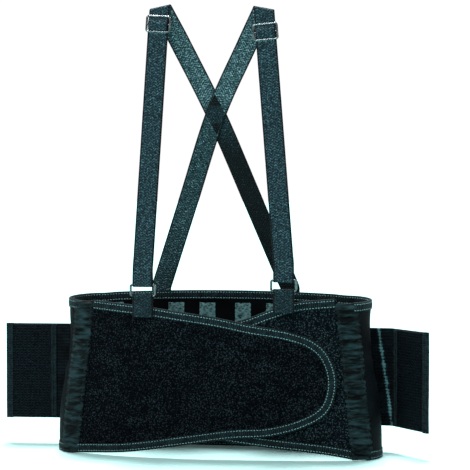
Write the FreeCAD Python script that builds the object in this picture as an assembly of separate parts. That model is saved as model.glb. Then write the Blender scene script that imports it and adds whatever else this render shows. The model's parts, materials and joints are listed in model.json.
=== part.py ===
import FreeCAD, Part
import math
import os

# Industrial back-support belt with shoulder straps, standing on its lower edge.
# Millimetres. +Z is up, the front of the belt faces -Y, and +X is the wearer's left.
# The belt closes as an oval loop. Everything sewn to it is given as an offset
# outwards from the inner face of the loop.

# ---- driving dimensions -------------------------------------------------
BELT_HEIGHT = 208.0
HALF_DEPTH = 52.0  # the loop, front to back
SIDE_RADIUS = 38.0  # the tight bend at each side
# Half width of the loop at heights from the floor: drawn in at the waist.
WAIST = [(0, 210), (50, 209), (90, 204), (130, 196), (165, 194.5), (215, 197)]
FABRIC = 2.5  # thickness of one belt layer
TAPE = 0.8  # thickness of the edge binding
BINDING = 11.0  # width of the edge binding
OVERLAP = 4.5  # how far out the left front panel lies, over the right one
HINGE_TOP, HINGE_BOTTOM = 157.0, 180.0  # half width of the front at the gathers
GATHER_TOP, GATHER_BOTTOM = 177.0, 199.0  # outer edge of the gathers
BACK_CORNER = 150.0  # the back panel reaches this far to each side
SEAM = 0.5  # gap along the line that a front panel opens about

WEB = 25.4  # webbing width
WEB_THICK = 1.5
BAND_LOW, BAND_HIGH = 34.0, 161.0  # tension band, five inches wide
BAND_THICK = 1.6
PATCH_LENGTH = 62.0  # hook patch at the end of a band
WIRE = 3.0  # ring wire
RING_WIDTH, RING_HEIGHT = 34.5, 17.0
SLIDER_WIRE = 2.8
SLIDER_WIDTH, SLIDER_HEIGHT = 32.5, 22.5
CROSSING = (-2.0, -9.0, 439.0)
LEFT, RIGHT = -1, 1

# What differs from side to side: the ring tab, the slider, the apex and the band.
TAB_X = {LEFT: -87.5, RIGHT: 93.0}
TAB_BOTTOM = {LEFT: 180.0, RIGHT: 187.5}
SLIDER_Z = {LEFT: 552.0, RIGHT: 540.0}
APEX = {LEFT: (-68.0, -46.0, 574.0), RIGHT: (66.0, -46.0, 570.0)}
BAND_BEND = {LEFT: 4.0, RIGHT: 49.0}  # degrees forward of straight out sideways
TAB_HEIGHT = 27.0
TAB_GAP = 1.6  # a flat tab clears the curved panel by this at its middle
LOOP_WALL = 3.2  # outer radius of webbing looped over a wire
LOOP_TAIL = 14.5  # doubled webbing above the ring's upper wire
LEG_GAP = 4.0  # the strap is opened here, above the ring
TRAVEL = 150.0  # slider travel down the strap

V = FreeCAD.Vector
parts = {}


def name_of(side, text):
    return ("left_" if side == LEFT else "right_") + text


# ---- the oval loop --------------------------------------------------------
def half_width(z):
    for (z0, w0), (z1, w1) in zip(WAIST, WAIST[1:]):
        if z <= z1:
            return w0 + (w1 - w0) * (z - z0) / (z1 - z0)
    return WAIST[-1][1]


def arc_centres(width):
    """How far the front and back arcs' centres and the side arcs' centres are from the middle."""
    side = width - SIDE_RADIUS
    depth = HALF_DEPTH - SIDE_RADIUS
    return (side**2 - depth**2) / (2 * depth), side


def surface_y(x, z, offset):
    """Distance from the middle to the front or back of the loop at x."""
    far, side = arc_centres(half_width(z))
    big = HALF_DEPTH + far + offset
    small = SIDE_RADIUS + offset
    if abs(x) <= side + small * side / math.hypot(side, far):
        return math.sqrt(big**2 - x**2) - far
    return math.sqrt(max(small**2 - (abs(x) - side) ** 2, 0))


def oval(width, offset, z):
    far, side = arc_centres(width)
    small = SIDE_RADIUS + offset
    h = math.hypot(side, far)
    tx, ty = side + small * side / h, small * far / h
    front, end = HALF_DEPTH + offset, side + small
    arcs = [
        ((-tx, -ty), (0, -front), (tx, -ty)),
        ((tx, -ty), (end, 0), (tx, ty)),
        ((tx, ty), (0, front), (-tx, ty)),
        ((-tx, ty), (-end, 0), (-tx, -ty)),
    ]
    return Part.Wire([Part.Arc(*[V(x, y, z) for x, y in arc]).toShape() for arc in arcs])


def barrel(offset):
    return Part.makeLoft([oval(w, offset, z) for z, w in WAIST], True, False)


barrels = {}


def layer(inner, outer):
    """The cloth between two offsets, all round the loop and taller than the belt."""
    for offset in (inner, outer):
        if offset not in barrels:
            barrels[offset] = barrel(offset)
    return barrels[outer].cut(barrels[inner])


# ---- outlines, as (x, z) seen from the front ------------------------------
def prism(points, y0, y1, smooth=False):
    """A closed outline pushed from y0 to y1. A smooth one is a spline, closed by a line."""
    corners = [V(x, y0, z) for x, z in points]
    if smooth:
        spline = Part.BSplineCurve()
        spline.interpolate(corners)
        edges = [spline.toShape(), Part.makeLine(corners[-1], corners[0])]
        wire = Part.Wire(edges)
    else:
        wire = Part.makePolygon(corners + corners[:1])
    return Part.Face(wire).extrude(V(0, y1 - y0, 0))


def grown(points, distance):
    """An open outline moved sideways, to the left of its direction of travel."""
    moved = []
    for i, (x, z) in enumerate(points):
        (x0, z0), (x1, z1) = points[max(i - 1, 0)], points[min(i + 1, len(points) - 1)]
        dx, dz = x1 - x0, z1 - z0
        length = math.hypot(dx, dz)
        moved.append((x - dz / length * distance, z + dx / length * distance))
    return moved


def hinge_x(z):
    """Half width of the front at the line that a front panel opens about."""
    return HINGE_TOP + (HINGE_BOTTOM - HINGE_TOP) * (1 - z / BELT_HEIGHT)


def gather_x(z):
    return GATHER_TOP + (GATHER_BOTTOM - GATHER_TOP) * (1 - z / BELT_HEIGHT)


FRONT, BACK = -95.0, 95.0

# The left panel's edge from the gather over the top, round the tongue and back.
LEFT_EDGE = [(-155, 199), (-120, 196), (-88, 193), (-45, 187), (5, 180), (50, 171), (95, 163.5), (128, 152)]
LEFT_EDGE += [(148, 132), (157, 99), (148, 64), (120, 44), (75, 31), (25, 27), (-40, 17), (-110, 6.5)]
LEFT_EDGE += [(-182, 1.6)]
# The right panel's edges, from its hidden end to the gather.
RIGHT_TOP = [(-62, 158), (-20, 163), (37, 176), (76, 190), (108, 199.5), (155, 204)]
RIGHT_LOW = [(-62, 38), (-20, 30), (15, 23.5), (71, 16.5), (140, 9), (182, 1.6)]


def front_half(side, inner=SEAM):
    """Everything in front, from the given distance inside the opening line to the far side."""
    x0, x1 = -side * (hinge_x(-10) - inner), -side * (hinge_x(220) - inner)
    return prism([(-x0, -10), (-x1, 220), (-side * 260, 220), (-side * 260, -10)], FRONT, 0)


def edged(region, grown_region, inset_region, inner, outer):
    """A panel, and the tape folded over its edge."""
    panel = layer(inner, outer).common(region)
    tape = layer(inner - TAPE, outer + TAPE).common(grown_region.cut(inset_region)).cut(panel)
    return panel, tape


def front_panels():
    hinge = front_half(LEFT)
    region = prism(LEFT_EDGE, FRONT, 0, True).common(hinge)
    outside = prism(grown(LEFT_EDGE, TAPE), FRONT, 0, True).common(hinge)
    inside = prism(grown(LEFT_EDGE, -BINDING), FRONT, 0, True)
    panel, tape = edged(region, outside, inside, OVERLAP, OVERLAP + FABRIC)
    parts["left_front_panel"], parts["left_panel_binding"] = panel, tape
    patch = [(78, 64), (78, 146), (112, 141), (137, 124), (143, 99), (137, 76), (112, 60)]
    hook = layer(OVERLAP - 1.2, OVERLAP).common(prism(patch, FRONT, 0))
    parts["tongue_hook_patch"] = hook

    hinge = front_half(RIGHT)
    edge = RIGHT_TOP + RIGHT_LOW[::-1]
    region = prism(edge, FRONT, 0).common(hinge)
    outside = prism(grown(RIGHT_TOP, TAPE) + grown(RIGHT_LOW, -TAPE)[::-1], FRONT, 0).common(hinge)
    inside = prism(grown(RIGHT_TOP, -BINDING) + grown(RIGHT_LOW, BINDING)[::-1], FRONT, 0)
    panel, tape = edged(region, outside, inside, 0, FABRIC)
    parts["right_front_panel"], parts["right_panel_binding"] = panel, tape


# ---- back, sides and gathers (all one body) -------------------------------
RIM_CENTRE, RIM_CORNER = 208.0, 205.0


def capped(top):
    """Full width of the belt between the floor and a top line."""
    return prism([(-BACK_CORNER, 0)] + top + [(BACK_CORNER, 0)], 0, BACK)


def rim(drop):
    steps = 12
    line = []
    for i in range(steps + 1):
        x = -BACK_CORNER + 2 * BACK_CORNER * i / steps
        sag = (x / BACK_CORNER) ** 2 * (RIM_CENTRE - RIM_CORNER)
        line.append((x, RIM_CENTRE - sag - drop))
    return line


def back():
    cloth = layer(0, FABRIC).common(capped(rim(TAPE))).common(lift(TAPE))
    parts["back_panel"] = cloth
    folded = layer(-TAPE, FABRIC + TAPE)
    top = folded.common(capped(rim(0)).cut(capped(rim(BINDING)))).cut(cloth)
    low = folded.common(capped(rim(0)).common(slab(0, BINDING))).cut(cloth)
    parts["back_top_binding"], parts["back_bottom_binding"] = top, low


def slab(z0, z1):
    return Part.makeBox(600, 300, z1 - z0, V(-300, -150, z0))


def lift(z0):
    return slab(z0, 260)


def side_block(side):
    """From the gather round the side to the corner of the back."""
    front = [(gather_x(-10), -10), (gather_x(220), 220), (280, 220), (280, -10)]
    ahead = prism([(side * x, z) for x, z in front], FRONT, 0)
    x0 = BACK_CORNER + 0.1 if side == RIGHT else -300
    behind = Part.makeBox(150 - 0.1, 95, 260, V(x0, 0, -10))
    return ahead.fuse(behind)


def under_rim(drop):
    """Below the side's top edge, which falls from the back corner to the gathers."""
    wire = [V(-300, -95, -20), V(-300, 95, -20), V(-300, 95, 207 - drop), V(-300, -95, 196 - drop)]
    return Part.Face(Part.makePolygon(wire + wire[:1])).extrude(V(600, 0, 0))


def sides():
    folded = layer(-TAPE, FABRIC + TAPE)
    for side in (LEFT, RIGHT):
        block = side_block(side)
        cloth = layer(0, FABRIC).common(block).common(under_rim(TAPE)).common(lift(TAPE))
        parts[name_of(side, "side_panel")] = cloth
        round_side = folded.common(block).common(under_rim(0)).common(lift(0))
        tape = round_side.cut(under_rim(BINDING).common(lift(BINDING))).cut(cloth)
        parts[name_of(side, "side_binding")] = tape
        strip = [(hinge_x(-10), -10), (hinge_x(220), 220)]
        strip += [(gather_x(220) - 0.1, 220), (gather_x(-10) - 0.1, -10)]
        gather = layer(-0.4, FABRIC + 0.6).common(prism([(side * x, z) for x, z in strip], FRONT, 0))
        parts[name_of(side, "gather_strip")] = gather.common(under_rim(0)).common(lift(0))


STAYS = [-147, -108, -66, -24, 24, 66, 108, 147]  # across the back
POCKET_WIDTH, STAY_WIDTH = 21.0, 12.0


def stays():
    """Sewn pockets on the inner face of the back, each with a flexible stay inside."""
    sleeve, hollow, leaf = layer(-2.6, 0), layer(-1.9, -0.6), layer(-1.8, -0.7)
    pockets, leaves = [], []
    for x in STAYS:
        box = [(x - POCKET_WIDTH / 2, 13), (x - POCKET_WIDTH / 2, 191)]
        box += [(x + POCKET_WIDTH / 2, 191), (x + POCKET_WIDTH / 2, 13)]
        outer = sleeve.common(prism(box, 0, BACK))
        inner = [(x - 6.5, 20), (x - 6.5, 186), (x + 6.5, 186), (x + 6.5, 20)]
        pockets.append(outer.cut(hollow.common(prism(inner, 0, BACK))))
        half = STAY_WIDTH / 2
        blade = [(x - half, 22), (x - half, 185), (x + half, 185), (x + half, 22)]
        leaves.append(leaf.common(prism(blade, 0, BACK)))
    parts["stay_pockets"] = Part.makeCompound(pockets)
    parts["back_stays"] = Part.makeCompound(leaves)


# ---- tension bands ---------------------------------------------------------
ROOT_REACH, WING_REACH, BAND_REACH = 200.0, 222.0, 298.0
BAND_START = (148.0, 45.6)  # where a band leaves the back, as seen from above


def heading(angle):
    a = math.radians(angle)
    return math.cos(a), -math.sin(a)


def band_points(side):
    """Band path from above: leaves the back, inner hinge, outer hinge, end."""
    dx, dy = heading(BAND_BEND[LEFT])
    start = BAND_START
    inner = (ROOT_REACH, start[1] + dy / dx * (ROOT_REACH - start[0]))
    outer = (WING_REACH, start[1] + dy / dx * (WING_REACH - start[0]))
    reach = BAND_REACH - WING_REACH
    ex, ey = heading(BAND_BEND[side])
    return start, inner, outer, (outer[0] + ex * reach, outer[1] + ey * reach)


def upright(side, p, q, low, high, front, behind, from_p=0.0, to_q=0.0):
    """A standing strip from p to q seen from above, between two distances from that line."""
    dx, dy = q[0] - p[0], q[1] - p[1]
    length = math.hypot(dx, dy)
    ux, uy = dx / length, dy / length
    nx, ny = uy, -ux  # towards the front
    corners = []
    for along, across in ((from_p, front), (from_p, -behind), (length - to_q, -behind), (length - to_q, front)):
        x, y = p[0] + ux * along + nx * across, p[1] + uy * along + ny * across
        corners.append(V(side * x, y, low))
    return Part.Face(Part.makePolygon(corners + corners[:1])).extrude(V(0, 0, high - low))


def bands():
    half = BAND_THICK / 2
    run = layer(3.5, 3.5 + BAND_THICK).common(slab(BAND_LOW, BAND_HIGH))
    for side in (LEFT, RIGHT):
        start, inner, outer, end = band_points(side)
        x0 = 0.2 if side == RIGHT else -0.2 - BAND_START[0]
        along_back = run.common(Part.makeBox(BAND_START[0], 95, 260, V(x0, 0, 0)))
        free = upright(side, start, inner, BAND_LOW, BAND_HIGH, half, half, 0, SEAM)
        parts[name_of(side, "band_back_run")] = along_back.fuse(free)
        wing = upright(side, inner, outer, BAND_LOW, BAND_HIGH, half, half, SEAM, SEAM)
        parts[name_of(side, "band_inner_wing")] = wing
        length = math.dist(outer, end)
        parts[name_of(side, "band_outer_wing")] = upright(
            side, outer, end, BAND_LOW, BAND_HIGH, half, half, SEAM, 3
        )
        seam = length - PATCH_LENGTH
        parts[name_of(side, "band_hook_patch")] = upright(
            side, outer, end, BAND_LOW + 1, BAND_HIGH - 1, half + 1.4, -half, seam, 3
        )
        tape = upright(side, outer, end, BAND_LOW, BAND_HIGH, half + 1.8, half + 0.4, length - 9, 0)
        core = upright(side, outer, end, BAND_LOW - 1, BAND_HIGH + 1, half + 1.4, half, length - 9, 3)
        parts[name_of(side, "band_end_binding")] = tape.cut(core)
        parts[name_of(side, "band_seam_tape")] = upright(
            side, outer, end, BAND_LOW + 1, BAND_HIGH - 1, half + 1.0, -half, seam - 7, length - seam
        )
    cover = layer(3.5 + BAND_THICK, 6.3).common(slab(BAND_LOW, BAND_HIGH))
    parts["band_anchor_patch"] = cover.common(Part.makeBox(36, 95, 260, V(-18, 0, 0)))


# ---- hardware and webbing ---------------------------------------------------
def bar_loop(width, height, wire):
    """A rounded rectangle of round wire, standing in the XZ plane about the origin."""
    x, z = (width - wire) / 2, (height - wire) / 2
    r = wire * 0.95
    k = r * (1 - math.sqrt(0.5))
    path = [
        Part.makeLine(V(-x + r, 0, -z), V(x - r, 0, -z)),
        Part.Arc(V(x - r, 0, -z), V(x - k, 0, -z + k), V(x, 0, -z + r)).toShape(),
        Part.makeLine(V(x, 0, -z + r), V(x, 0, z - r)),
        Part.Arc(V(x, 0, z - r), V(x - k, 0, z - k), V(x - r, 0, z)).toShape(),
        Part.makeLine(V(x - r, 0, z), V(-x + r, 0, z)),
        Part.Arc(V(-x + r, 0, z), V(-x + k, 0, z - k), V(-x, 0, z - r)).toShape(),
        Part.makeLine(V(-x, 0, z - r), V(-x, 0, -z + r)),
        Part.Arc(V(-x, 0, -z + r), V(-x + k, 0, -z + k), V(-x + r, 0, -z)).toShape(),
    ]
    profile = Part.Wire(Part.makeCircle(wire / 2, V(-x + r, 0, -z), V(1, 0, 0)))
    return Part.Wire(path).makePipeShell([profile], True, False)


def crosswise(radius, width, y=0.0, z=0.0):
    return Part.makeCylinder(radius, width, V(-width / 2, y, z), V(1, 0, 0))


def flat(width, thick, z0, z1, y=0.0, tilt=0.0):
    """A flat strap in the XZ plane. tilt lifts its right corner and lowers its left at the top."""
    w = width / 2
    corners = [(-w, z0), (w, z0), (w, z1 + tilt), (-w, z1 - tilt)]
    return prism(corners, y - thick / 2, y + thick / 2)


def placed(shape, origin, direction):
    """Moves a shape whose strap runs up +Z to start at origin and run along direction, level across."""
    along = V(direction).normalize()
    behind = V(0, abs(along.z), -math.copysign(along.y, along.z)).normalize()
    turn = FreeCAD.Rotation(behind.cross(along), behind, along, "ZYX")
    moved = shape.copy()
    moved.Placement = FreeCAD.Placement(origin, turn).multiply(shape.Placement)
    return moved


def ring_centre(side):
    """Middle of the ring's lower wire."""
    z = TAB_BOTTOM[side] + TAB_HEIGHT
    y = -surface_y(TAB_X[side], z, OVERLAP + FABRIC + TAPE) - TAB_GAP - WEB_THICK
    return V(TAB_X[side], y, z)


def leg_ends(side):
    """Bottom of the shoulder strap's front leg, and the fold at its top."""
    low = ring_centre(side) + V(0, 0, RING_HEIGHT - WIRE + LOOP_TAIL + LEG_GAP)
    return low, V(*APEX[side])


def rings():
    for side in (LEFT, RIGHT):
        base = ring_centre(side)
        ring = bar_loop(RING_WIDTH, RING_HEIGHT, WIRE)
        upper = RING_HEIGHT - WIRE
        ring.translate(V(0, 0, upper / 2))
        loop = crosswise(LOOP_WALL, WEB, z=upper).fuse(
            flat(WEB, 2 * WEB_THICK + 0.2, upper + 1, upper + LOOP_TAIL)
        )
        loop = loop.cut(crosswise(WIRE / 2 + 0.05, WEB + 2, z=upper))
        tab = crosswise(LOOP_WALL, WEB + 1).fuse(flat(WEB + 1, 2 * WEB_THICK, -TAB_HEIGHT, -1))
        tab = tab.cut(crosswise(WIRE / 2 + 0.25, WEB + 4))
        for text, shape in (("ring", ring), ("ring_loop", loop), ("ring_tab", tab)):
            shape.translate(base)
            parts[name_of(side, text)] = shape


CREASE = 1.9  # inner radius of the fold at the apex
BACK_RADIUS = 950.0  # of the arc across the back
HEAD_DROP = 11.0  # a back strap starts this far down from the apex, clear of the fold
SLANT = 3.3  # how far the fold's ends are above and below its middle


def straps():
    cross = V(*CROSSING)
    for side in (LEFT, RIGHT):
        low, top = leg_ends(side)
        up = top - low
        length = up.Length
        direction = V(up).normalize()
        leg = flat(WEB, WEB_THICK, 0, length - 3, WEB_THICK / 2 + 0.05, -side * SLANT)
        doubled = up.Length - (top.z - SLIDER_Z[side]) - SLIDER_HEIGHT / 2 - TRAVEL - 4
        second = flat(WEB, WEB_THICK, 0, doubled, -WEB_THICK / 2 - 0.05)
        parts[name_of(side, "front_leg")] = placed(leg, low, direction)
        parts[name_of(side, "return_layer")] = placed(second, low, direction)

        fold = crosswise(CREASE + WEB_THICK, WEB).cut(crosswise(CREASE, WEB + 2))
        fold = fold.cut(Part.makeBox(WEB + 4, 20, 20, V(-WEB / 2 - 2, -10, -20)))
        fold.rotate(V(0, 0, 0), V(0, 1, 0), side * math.degrees(math.asin(2 * SLANT / WEB)))
        fold.translate(V(0, CREASE + WEB_THICK + 0.05, length - 2.4))
        parts[name_of(side, "apex_fold")] = placed(fold, low, direction)

        anchor_x = -side * 87.0
        rim_y = surface_y(anchor_x, RIM_CORNER, FABRIC + TAPE) + WEB_THICK / 2 + 0.3
        foot = V(anchor_x, rim_y, RIM_CENTRE + 5)
        behind = V(0, 2.3 if side == LEFT else 0.0, 0)
        head = low + direction * (length - HEAD_DROP) + V(0, 2 * CREASE + 2 * WEB_THICK, 0)
        upper = between(head, cross + behind)
        lower = between(cross + behind, foot)
        parts[name_of(side, "back_strap")] = upper.fuse(lower)
        anchor = flat(WEB, WEB_THICK, -30, -5.8)
        anchor.rotate(V(0, 0, 0), V(0, 0, 1), -math.degrees(math.asin(anchor_x / BACK_RADIUS)))
        anchor.translate(foot)
        parts[name_of(-side, "back_anchor")] = anchor
    sewn = [flat(24, 0.5, z, z + 1, -WEB_THICK / 2 - 0.3) for z in (-24, 23)]
    for lean in (-1, 1):
        seam = flat(1, 0.5, -22, 22, -WEB_THICK / 2 - 0.3)
        seam.translate(V(lean * 10, 0, 0))
        sewn.append(seam)
    frame = Part.makeCompound(sewn)
    parts["crossing_stitches"] = placed(frame, cross, V(0, 0.26, -1))


def between(start, end):
    run = end - start
    return placed(flat(WEB, WEB_THICK, 0, run.Length), start, V(run).normalize())


def sliders():
    for side in (LEFT, RIGHT):
        low, top = leg_ends(side)
        direction = V(top - low).normalize()
        centre = low + direction * ((SLIDER_Z[side] - low.z) / direction.z)
        front = -(0.3 + SLIDER_WIRE / 2)
        frame = bar_loop(SLIDER_WIDTH, SLIDER_HEIGHT, SLIDER_WIRE)
        frame.translate(V(0, front, 0))
        bar = crosswise(SLIDER_WIRE / 2 - 0.1, SLIDER_WIDTH - SLIDER_WIRE, front).cut(frame)
        wrap = wrapped(front)
        for text, shape in (("frame", frame), ("bar", bar), ("webbing", wrap)):
            parts[name_of(side, "slider_" + text)] = placed(shape, centre, direction)


def wrapped(front):
    """Webbing that bulges forward over the slider's middle bar, between its outer bars."""
    half, bulge = 6.9, SLIDER_WIRE / 2 + 0.4
    inner = Part.Arc(V(0, -0.4, half), V(0, front - bulge, 0), V(0, -0.4, -half)).toShape()
    outer = Part.Arc(V(0, -0.4, -half - 1), V(0, front - bulge - WEB_THICK, 0), V(0, -0.4, half + 1))
    outer = outer.toShape()
    closing = [
        Part.makeLine(V(0, -0.4, -half), V(0, -0.4, -half - 1)),
        Part.makeLine(V(0, -0.4, half + 1), V(0, -0.4, half)),
    ]
    face = Part.Face(Part.Wire([inner, closing[0], outer, closing[1]]))
    solid = face.extrude(V(WEB - 1, 0, 0))
    solid.translate(V(-(WEB - 1) / 2, 0, 0))
    return solid


# ---- build, set the origin under the middle, and write ----------------------
back()
sides()
stays()
front_panels()
bands()
rings()
straps()
sliders()

whole = Part.makeCompound(list(parts.values())).BoundBox
shift = V(-whole.Center.x, -whole.Center.y, -whole.ZMin)
os.makedirs("parts", exist_ok=True)
for node, shape in parts.items():
    shape.translate(shift)
    shape.exportStep(f"parts/{node}.step")
print("nodes", len(parts), "shift", [round(c, 3) for c in shift])
print("size", [round(c, 1) for c in (whole.XLength, whole.YLength, whole.ZLength)])
for node in parts:
    if not parts[node].isValid():
        print("invalid", node)
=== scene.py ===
import json
import math

import bmesh
import bpy
import numpy as np
from mathutils import Vector
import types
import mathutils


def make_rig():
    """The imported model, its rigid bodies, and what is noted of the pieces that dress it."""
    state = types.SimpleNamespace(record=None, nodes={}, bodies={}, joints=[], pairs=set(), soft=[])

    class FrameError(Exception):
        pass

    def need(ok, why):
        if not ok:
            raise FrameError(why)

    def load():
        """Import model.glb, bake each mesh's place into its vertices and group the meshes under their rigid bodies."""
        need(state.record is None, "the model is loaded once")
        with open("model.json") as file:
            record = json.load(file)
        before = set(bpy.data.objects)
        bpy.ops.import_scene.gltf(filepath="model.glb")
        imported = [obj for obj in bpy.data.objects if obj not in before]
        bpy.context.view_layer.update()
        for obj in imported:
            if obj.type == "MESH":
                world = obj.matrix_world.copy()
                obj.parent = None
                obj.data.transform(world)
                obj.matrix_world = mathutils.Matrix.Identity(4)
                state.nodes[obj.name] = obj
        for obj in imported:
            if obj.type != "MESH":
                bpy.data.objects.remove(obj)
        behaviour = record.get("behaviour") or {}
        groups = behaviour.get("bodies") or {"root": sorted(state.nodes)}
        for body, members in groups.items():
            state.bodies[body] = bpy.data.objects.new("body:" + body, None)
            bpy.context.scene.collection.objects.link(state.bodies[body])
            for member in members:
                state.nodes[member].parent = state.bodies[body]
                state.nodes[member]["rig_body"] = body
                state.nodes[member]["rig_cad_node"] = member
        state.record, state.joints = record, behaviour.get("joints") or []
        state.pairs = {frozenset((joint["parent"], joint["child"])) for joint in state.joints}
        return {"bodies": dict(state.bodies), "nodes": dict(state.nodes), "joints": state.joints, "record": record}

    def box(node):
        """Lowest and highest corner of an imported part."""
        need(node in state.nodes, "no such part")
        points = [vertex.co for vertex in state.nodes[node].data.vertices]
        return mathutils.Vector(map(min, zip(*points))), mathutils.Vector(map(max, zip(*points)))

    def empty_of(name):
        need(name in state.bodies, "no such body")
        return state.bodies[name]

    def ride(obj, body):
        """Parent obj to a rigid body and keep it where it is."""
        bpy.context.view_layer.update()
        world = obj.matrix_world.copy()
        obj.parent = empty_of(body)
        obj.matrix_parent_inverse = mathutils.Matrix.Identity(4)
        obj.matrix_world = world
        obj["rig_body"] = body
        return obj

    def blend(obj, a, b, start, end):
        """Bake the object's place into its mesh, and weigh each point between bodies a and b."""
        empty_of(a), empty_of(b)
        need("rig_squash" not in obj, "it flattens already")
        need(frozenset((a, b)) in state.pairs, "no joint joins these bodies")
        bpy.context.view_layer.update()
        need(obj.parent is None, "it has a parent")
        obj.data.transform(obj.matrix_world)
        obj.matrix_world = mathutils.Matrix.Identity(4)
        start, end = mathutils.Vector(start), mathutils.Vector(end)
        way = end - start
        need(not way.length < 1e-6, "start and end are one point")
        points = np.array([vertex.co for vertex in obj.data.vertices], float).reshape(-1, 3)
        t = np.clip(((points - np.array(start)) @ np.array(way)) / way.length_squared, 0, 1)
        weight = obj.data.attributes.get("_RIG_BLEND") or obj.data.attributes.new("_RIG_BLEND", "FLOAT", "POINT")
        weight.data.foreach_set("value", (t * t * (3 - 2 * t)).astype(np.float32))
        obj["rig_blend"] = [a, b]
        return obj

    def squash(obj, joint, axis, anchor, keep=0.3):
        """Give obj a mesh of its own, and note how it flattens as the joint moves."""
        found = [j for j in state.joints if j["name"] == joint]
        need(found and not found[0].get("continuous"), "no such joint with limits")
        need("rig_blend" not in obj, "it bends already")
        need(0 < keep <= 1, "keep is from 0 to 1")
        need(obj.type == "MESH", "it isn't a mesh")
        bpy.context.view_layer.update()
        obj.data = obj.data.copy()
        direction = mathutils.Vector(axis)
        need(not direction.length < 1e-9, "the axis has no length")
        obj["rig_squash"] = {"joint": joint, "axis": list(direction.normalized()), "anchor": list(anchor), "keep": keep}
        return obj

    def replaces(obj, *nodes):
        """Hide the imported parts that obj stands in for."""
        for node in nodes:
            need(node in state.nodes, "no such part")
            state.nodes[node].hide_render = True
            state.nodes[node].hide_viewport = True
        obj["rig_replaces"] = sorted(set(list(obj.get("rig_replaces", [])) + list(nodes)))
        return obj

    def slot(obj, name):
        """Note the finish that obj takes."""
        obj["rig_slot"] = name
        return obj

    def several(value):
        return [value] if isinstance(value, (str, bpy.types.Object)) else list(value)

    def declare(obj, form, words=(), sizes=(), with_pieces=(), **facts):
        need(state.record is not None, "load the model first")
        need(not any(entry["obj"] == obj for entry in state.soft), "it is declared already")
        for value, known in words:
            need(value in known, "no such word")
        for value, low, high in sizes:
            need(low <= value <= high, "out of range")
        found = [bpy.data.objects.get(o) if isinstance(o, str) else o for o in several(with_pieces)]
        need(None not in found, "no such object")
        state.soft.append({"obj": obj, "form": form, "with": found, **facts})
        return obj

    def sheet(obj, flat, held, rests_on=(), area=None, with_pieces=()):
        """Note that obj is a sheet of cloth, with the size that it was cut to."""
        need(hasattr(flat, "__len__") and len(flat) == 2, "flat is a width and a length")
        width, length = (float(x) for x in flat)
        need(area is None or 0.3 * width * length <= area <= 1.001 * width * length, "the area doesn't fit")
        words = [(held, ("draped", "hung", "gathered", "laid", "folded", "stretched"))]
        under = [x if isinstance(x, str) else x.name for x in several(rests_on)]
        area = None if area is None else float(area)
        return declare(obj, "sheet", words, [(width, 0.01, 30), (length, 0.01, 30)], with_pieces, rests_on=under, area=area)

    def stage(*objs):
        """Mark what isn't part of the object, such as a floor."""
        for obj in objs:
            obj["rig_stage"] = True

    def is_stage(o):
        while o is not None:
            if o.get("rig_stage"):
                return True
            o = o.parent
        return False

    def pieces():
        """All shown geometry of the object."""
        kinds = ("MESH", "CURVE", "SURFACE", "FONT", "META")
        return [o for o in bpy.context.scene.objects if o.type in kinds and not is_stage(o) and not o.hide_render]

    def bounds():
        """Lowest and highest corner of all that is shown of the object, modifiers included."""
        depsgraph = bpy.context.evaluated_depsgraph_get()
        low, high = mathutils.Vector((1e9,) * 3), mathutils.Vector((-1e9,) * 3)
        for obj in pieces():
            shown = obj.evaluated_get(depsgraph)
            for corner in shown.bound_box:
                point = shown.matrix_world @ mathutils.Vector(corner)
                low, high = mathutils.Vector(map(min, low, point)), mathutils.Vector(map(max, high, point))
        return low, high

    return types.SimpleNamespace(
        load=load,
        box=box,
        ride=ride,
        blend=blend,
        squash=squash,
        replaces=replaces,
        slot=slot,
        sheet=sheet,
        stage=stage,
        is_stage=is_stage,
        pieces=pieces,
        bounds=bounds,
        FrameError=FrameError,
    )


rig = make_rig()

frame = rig.load()
cad_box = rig.bounds()

# ---- sizes in millimetres, the same as the frame's -----------------------------
MM = 0.001
HALF_DEPTH, SIDE_RADIUS = 52.0, 38.0
WAIST = [(0, 210), (50, 209), (90, 204), (130, 196), (165, 194.5), (215, 197)]
FABRIC, TAPE, BINDING, OVERLAP = 2.5, 0.8, 11.0, 4.5
BELT_HEIGHT = 208.0
HINGE_TOP, HINGE_BOTTOM = 157.0, 180.0
GATHER_TOP, GATHER_BOTTOM = 177.0, 199.0
BACK_CORNER = 150.0
WEB, WEB_THICK = 25.4, 1.5
BAND_LOW, BAND_HIGH, BAND_THICK = 34.0, 161.0, 1.6
CROSSING = np.array((-2.0, -9.0, 439.0))
LEFT, RIGHT = -1, 1
SIDES = ((LEFT, "left"), (RIGHT, "right"))
TAB_BOTTOM = {LEFT: 180.0, RIGHT: 187.5}
SLIDER_Z = {LEFT: 552.0, RIGHT: 540.0}
APEX = {LEFT: (-68.0, -46.0, 574.0), RIGHT: (66.0, -46.0, 570.0)}
BAND_BEND = {LEFT: 4.0, RIGHT: 49.0}
TAB_HEIGHT, RING_UPPER, LOOP_TAIL, LEG_GAP = 27.0, 14.0, 14.5, 4.0
SLIDER_HEIGHT, TRAVEL = 22.5, 150.0
STAYS = [-147, -108, -66, -24, 24, 66, 108, 147]

# The frame's origin is under the middle of its box. The belt's own middle is found from the back panel.
low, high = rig.box("back_panel")
ORIGIN = np.array(((low.x + high.x) / 2 / MM, high.y / MM - HALF_DEPTH - FABRIC, 0.0))


def smooth(t):
    t = np.clip(t, 0, 1)
    return t * t * (3 - 2 * t)


def unit(v):
    return v / np.maximum(np.linalg.norm(v, axis=-1, keepdims=True), 1e-9)


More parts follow.
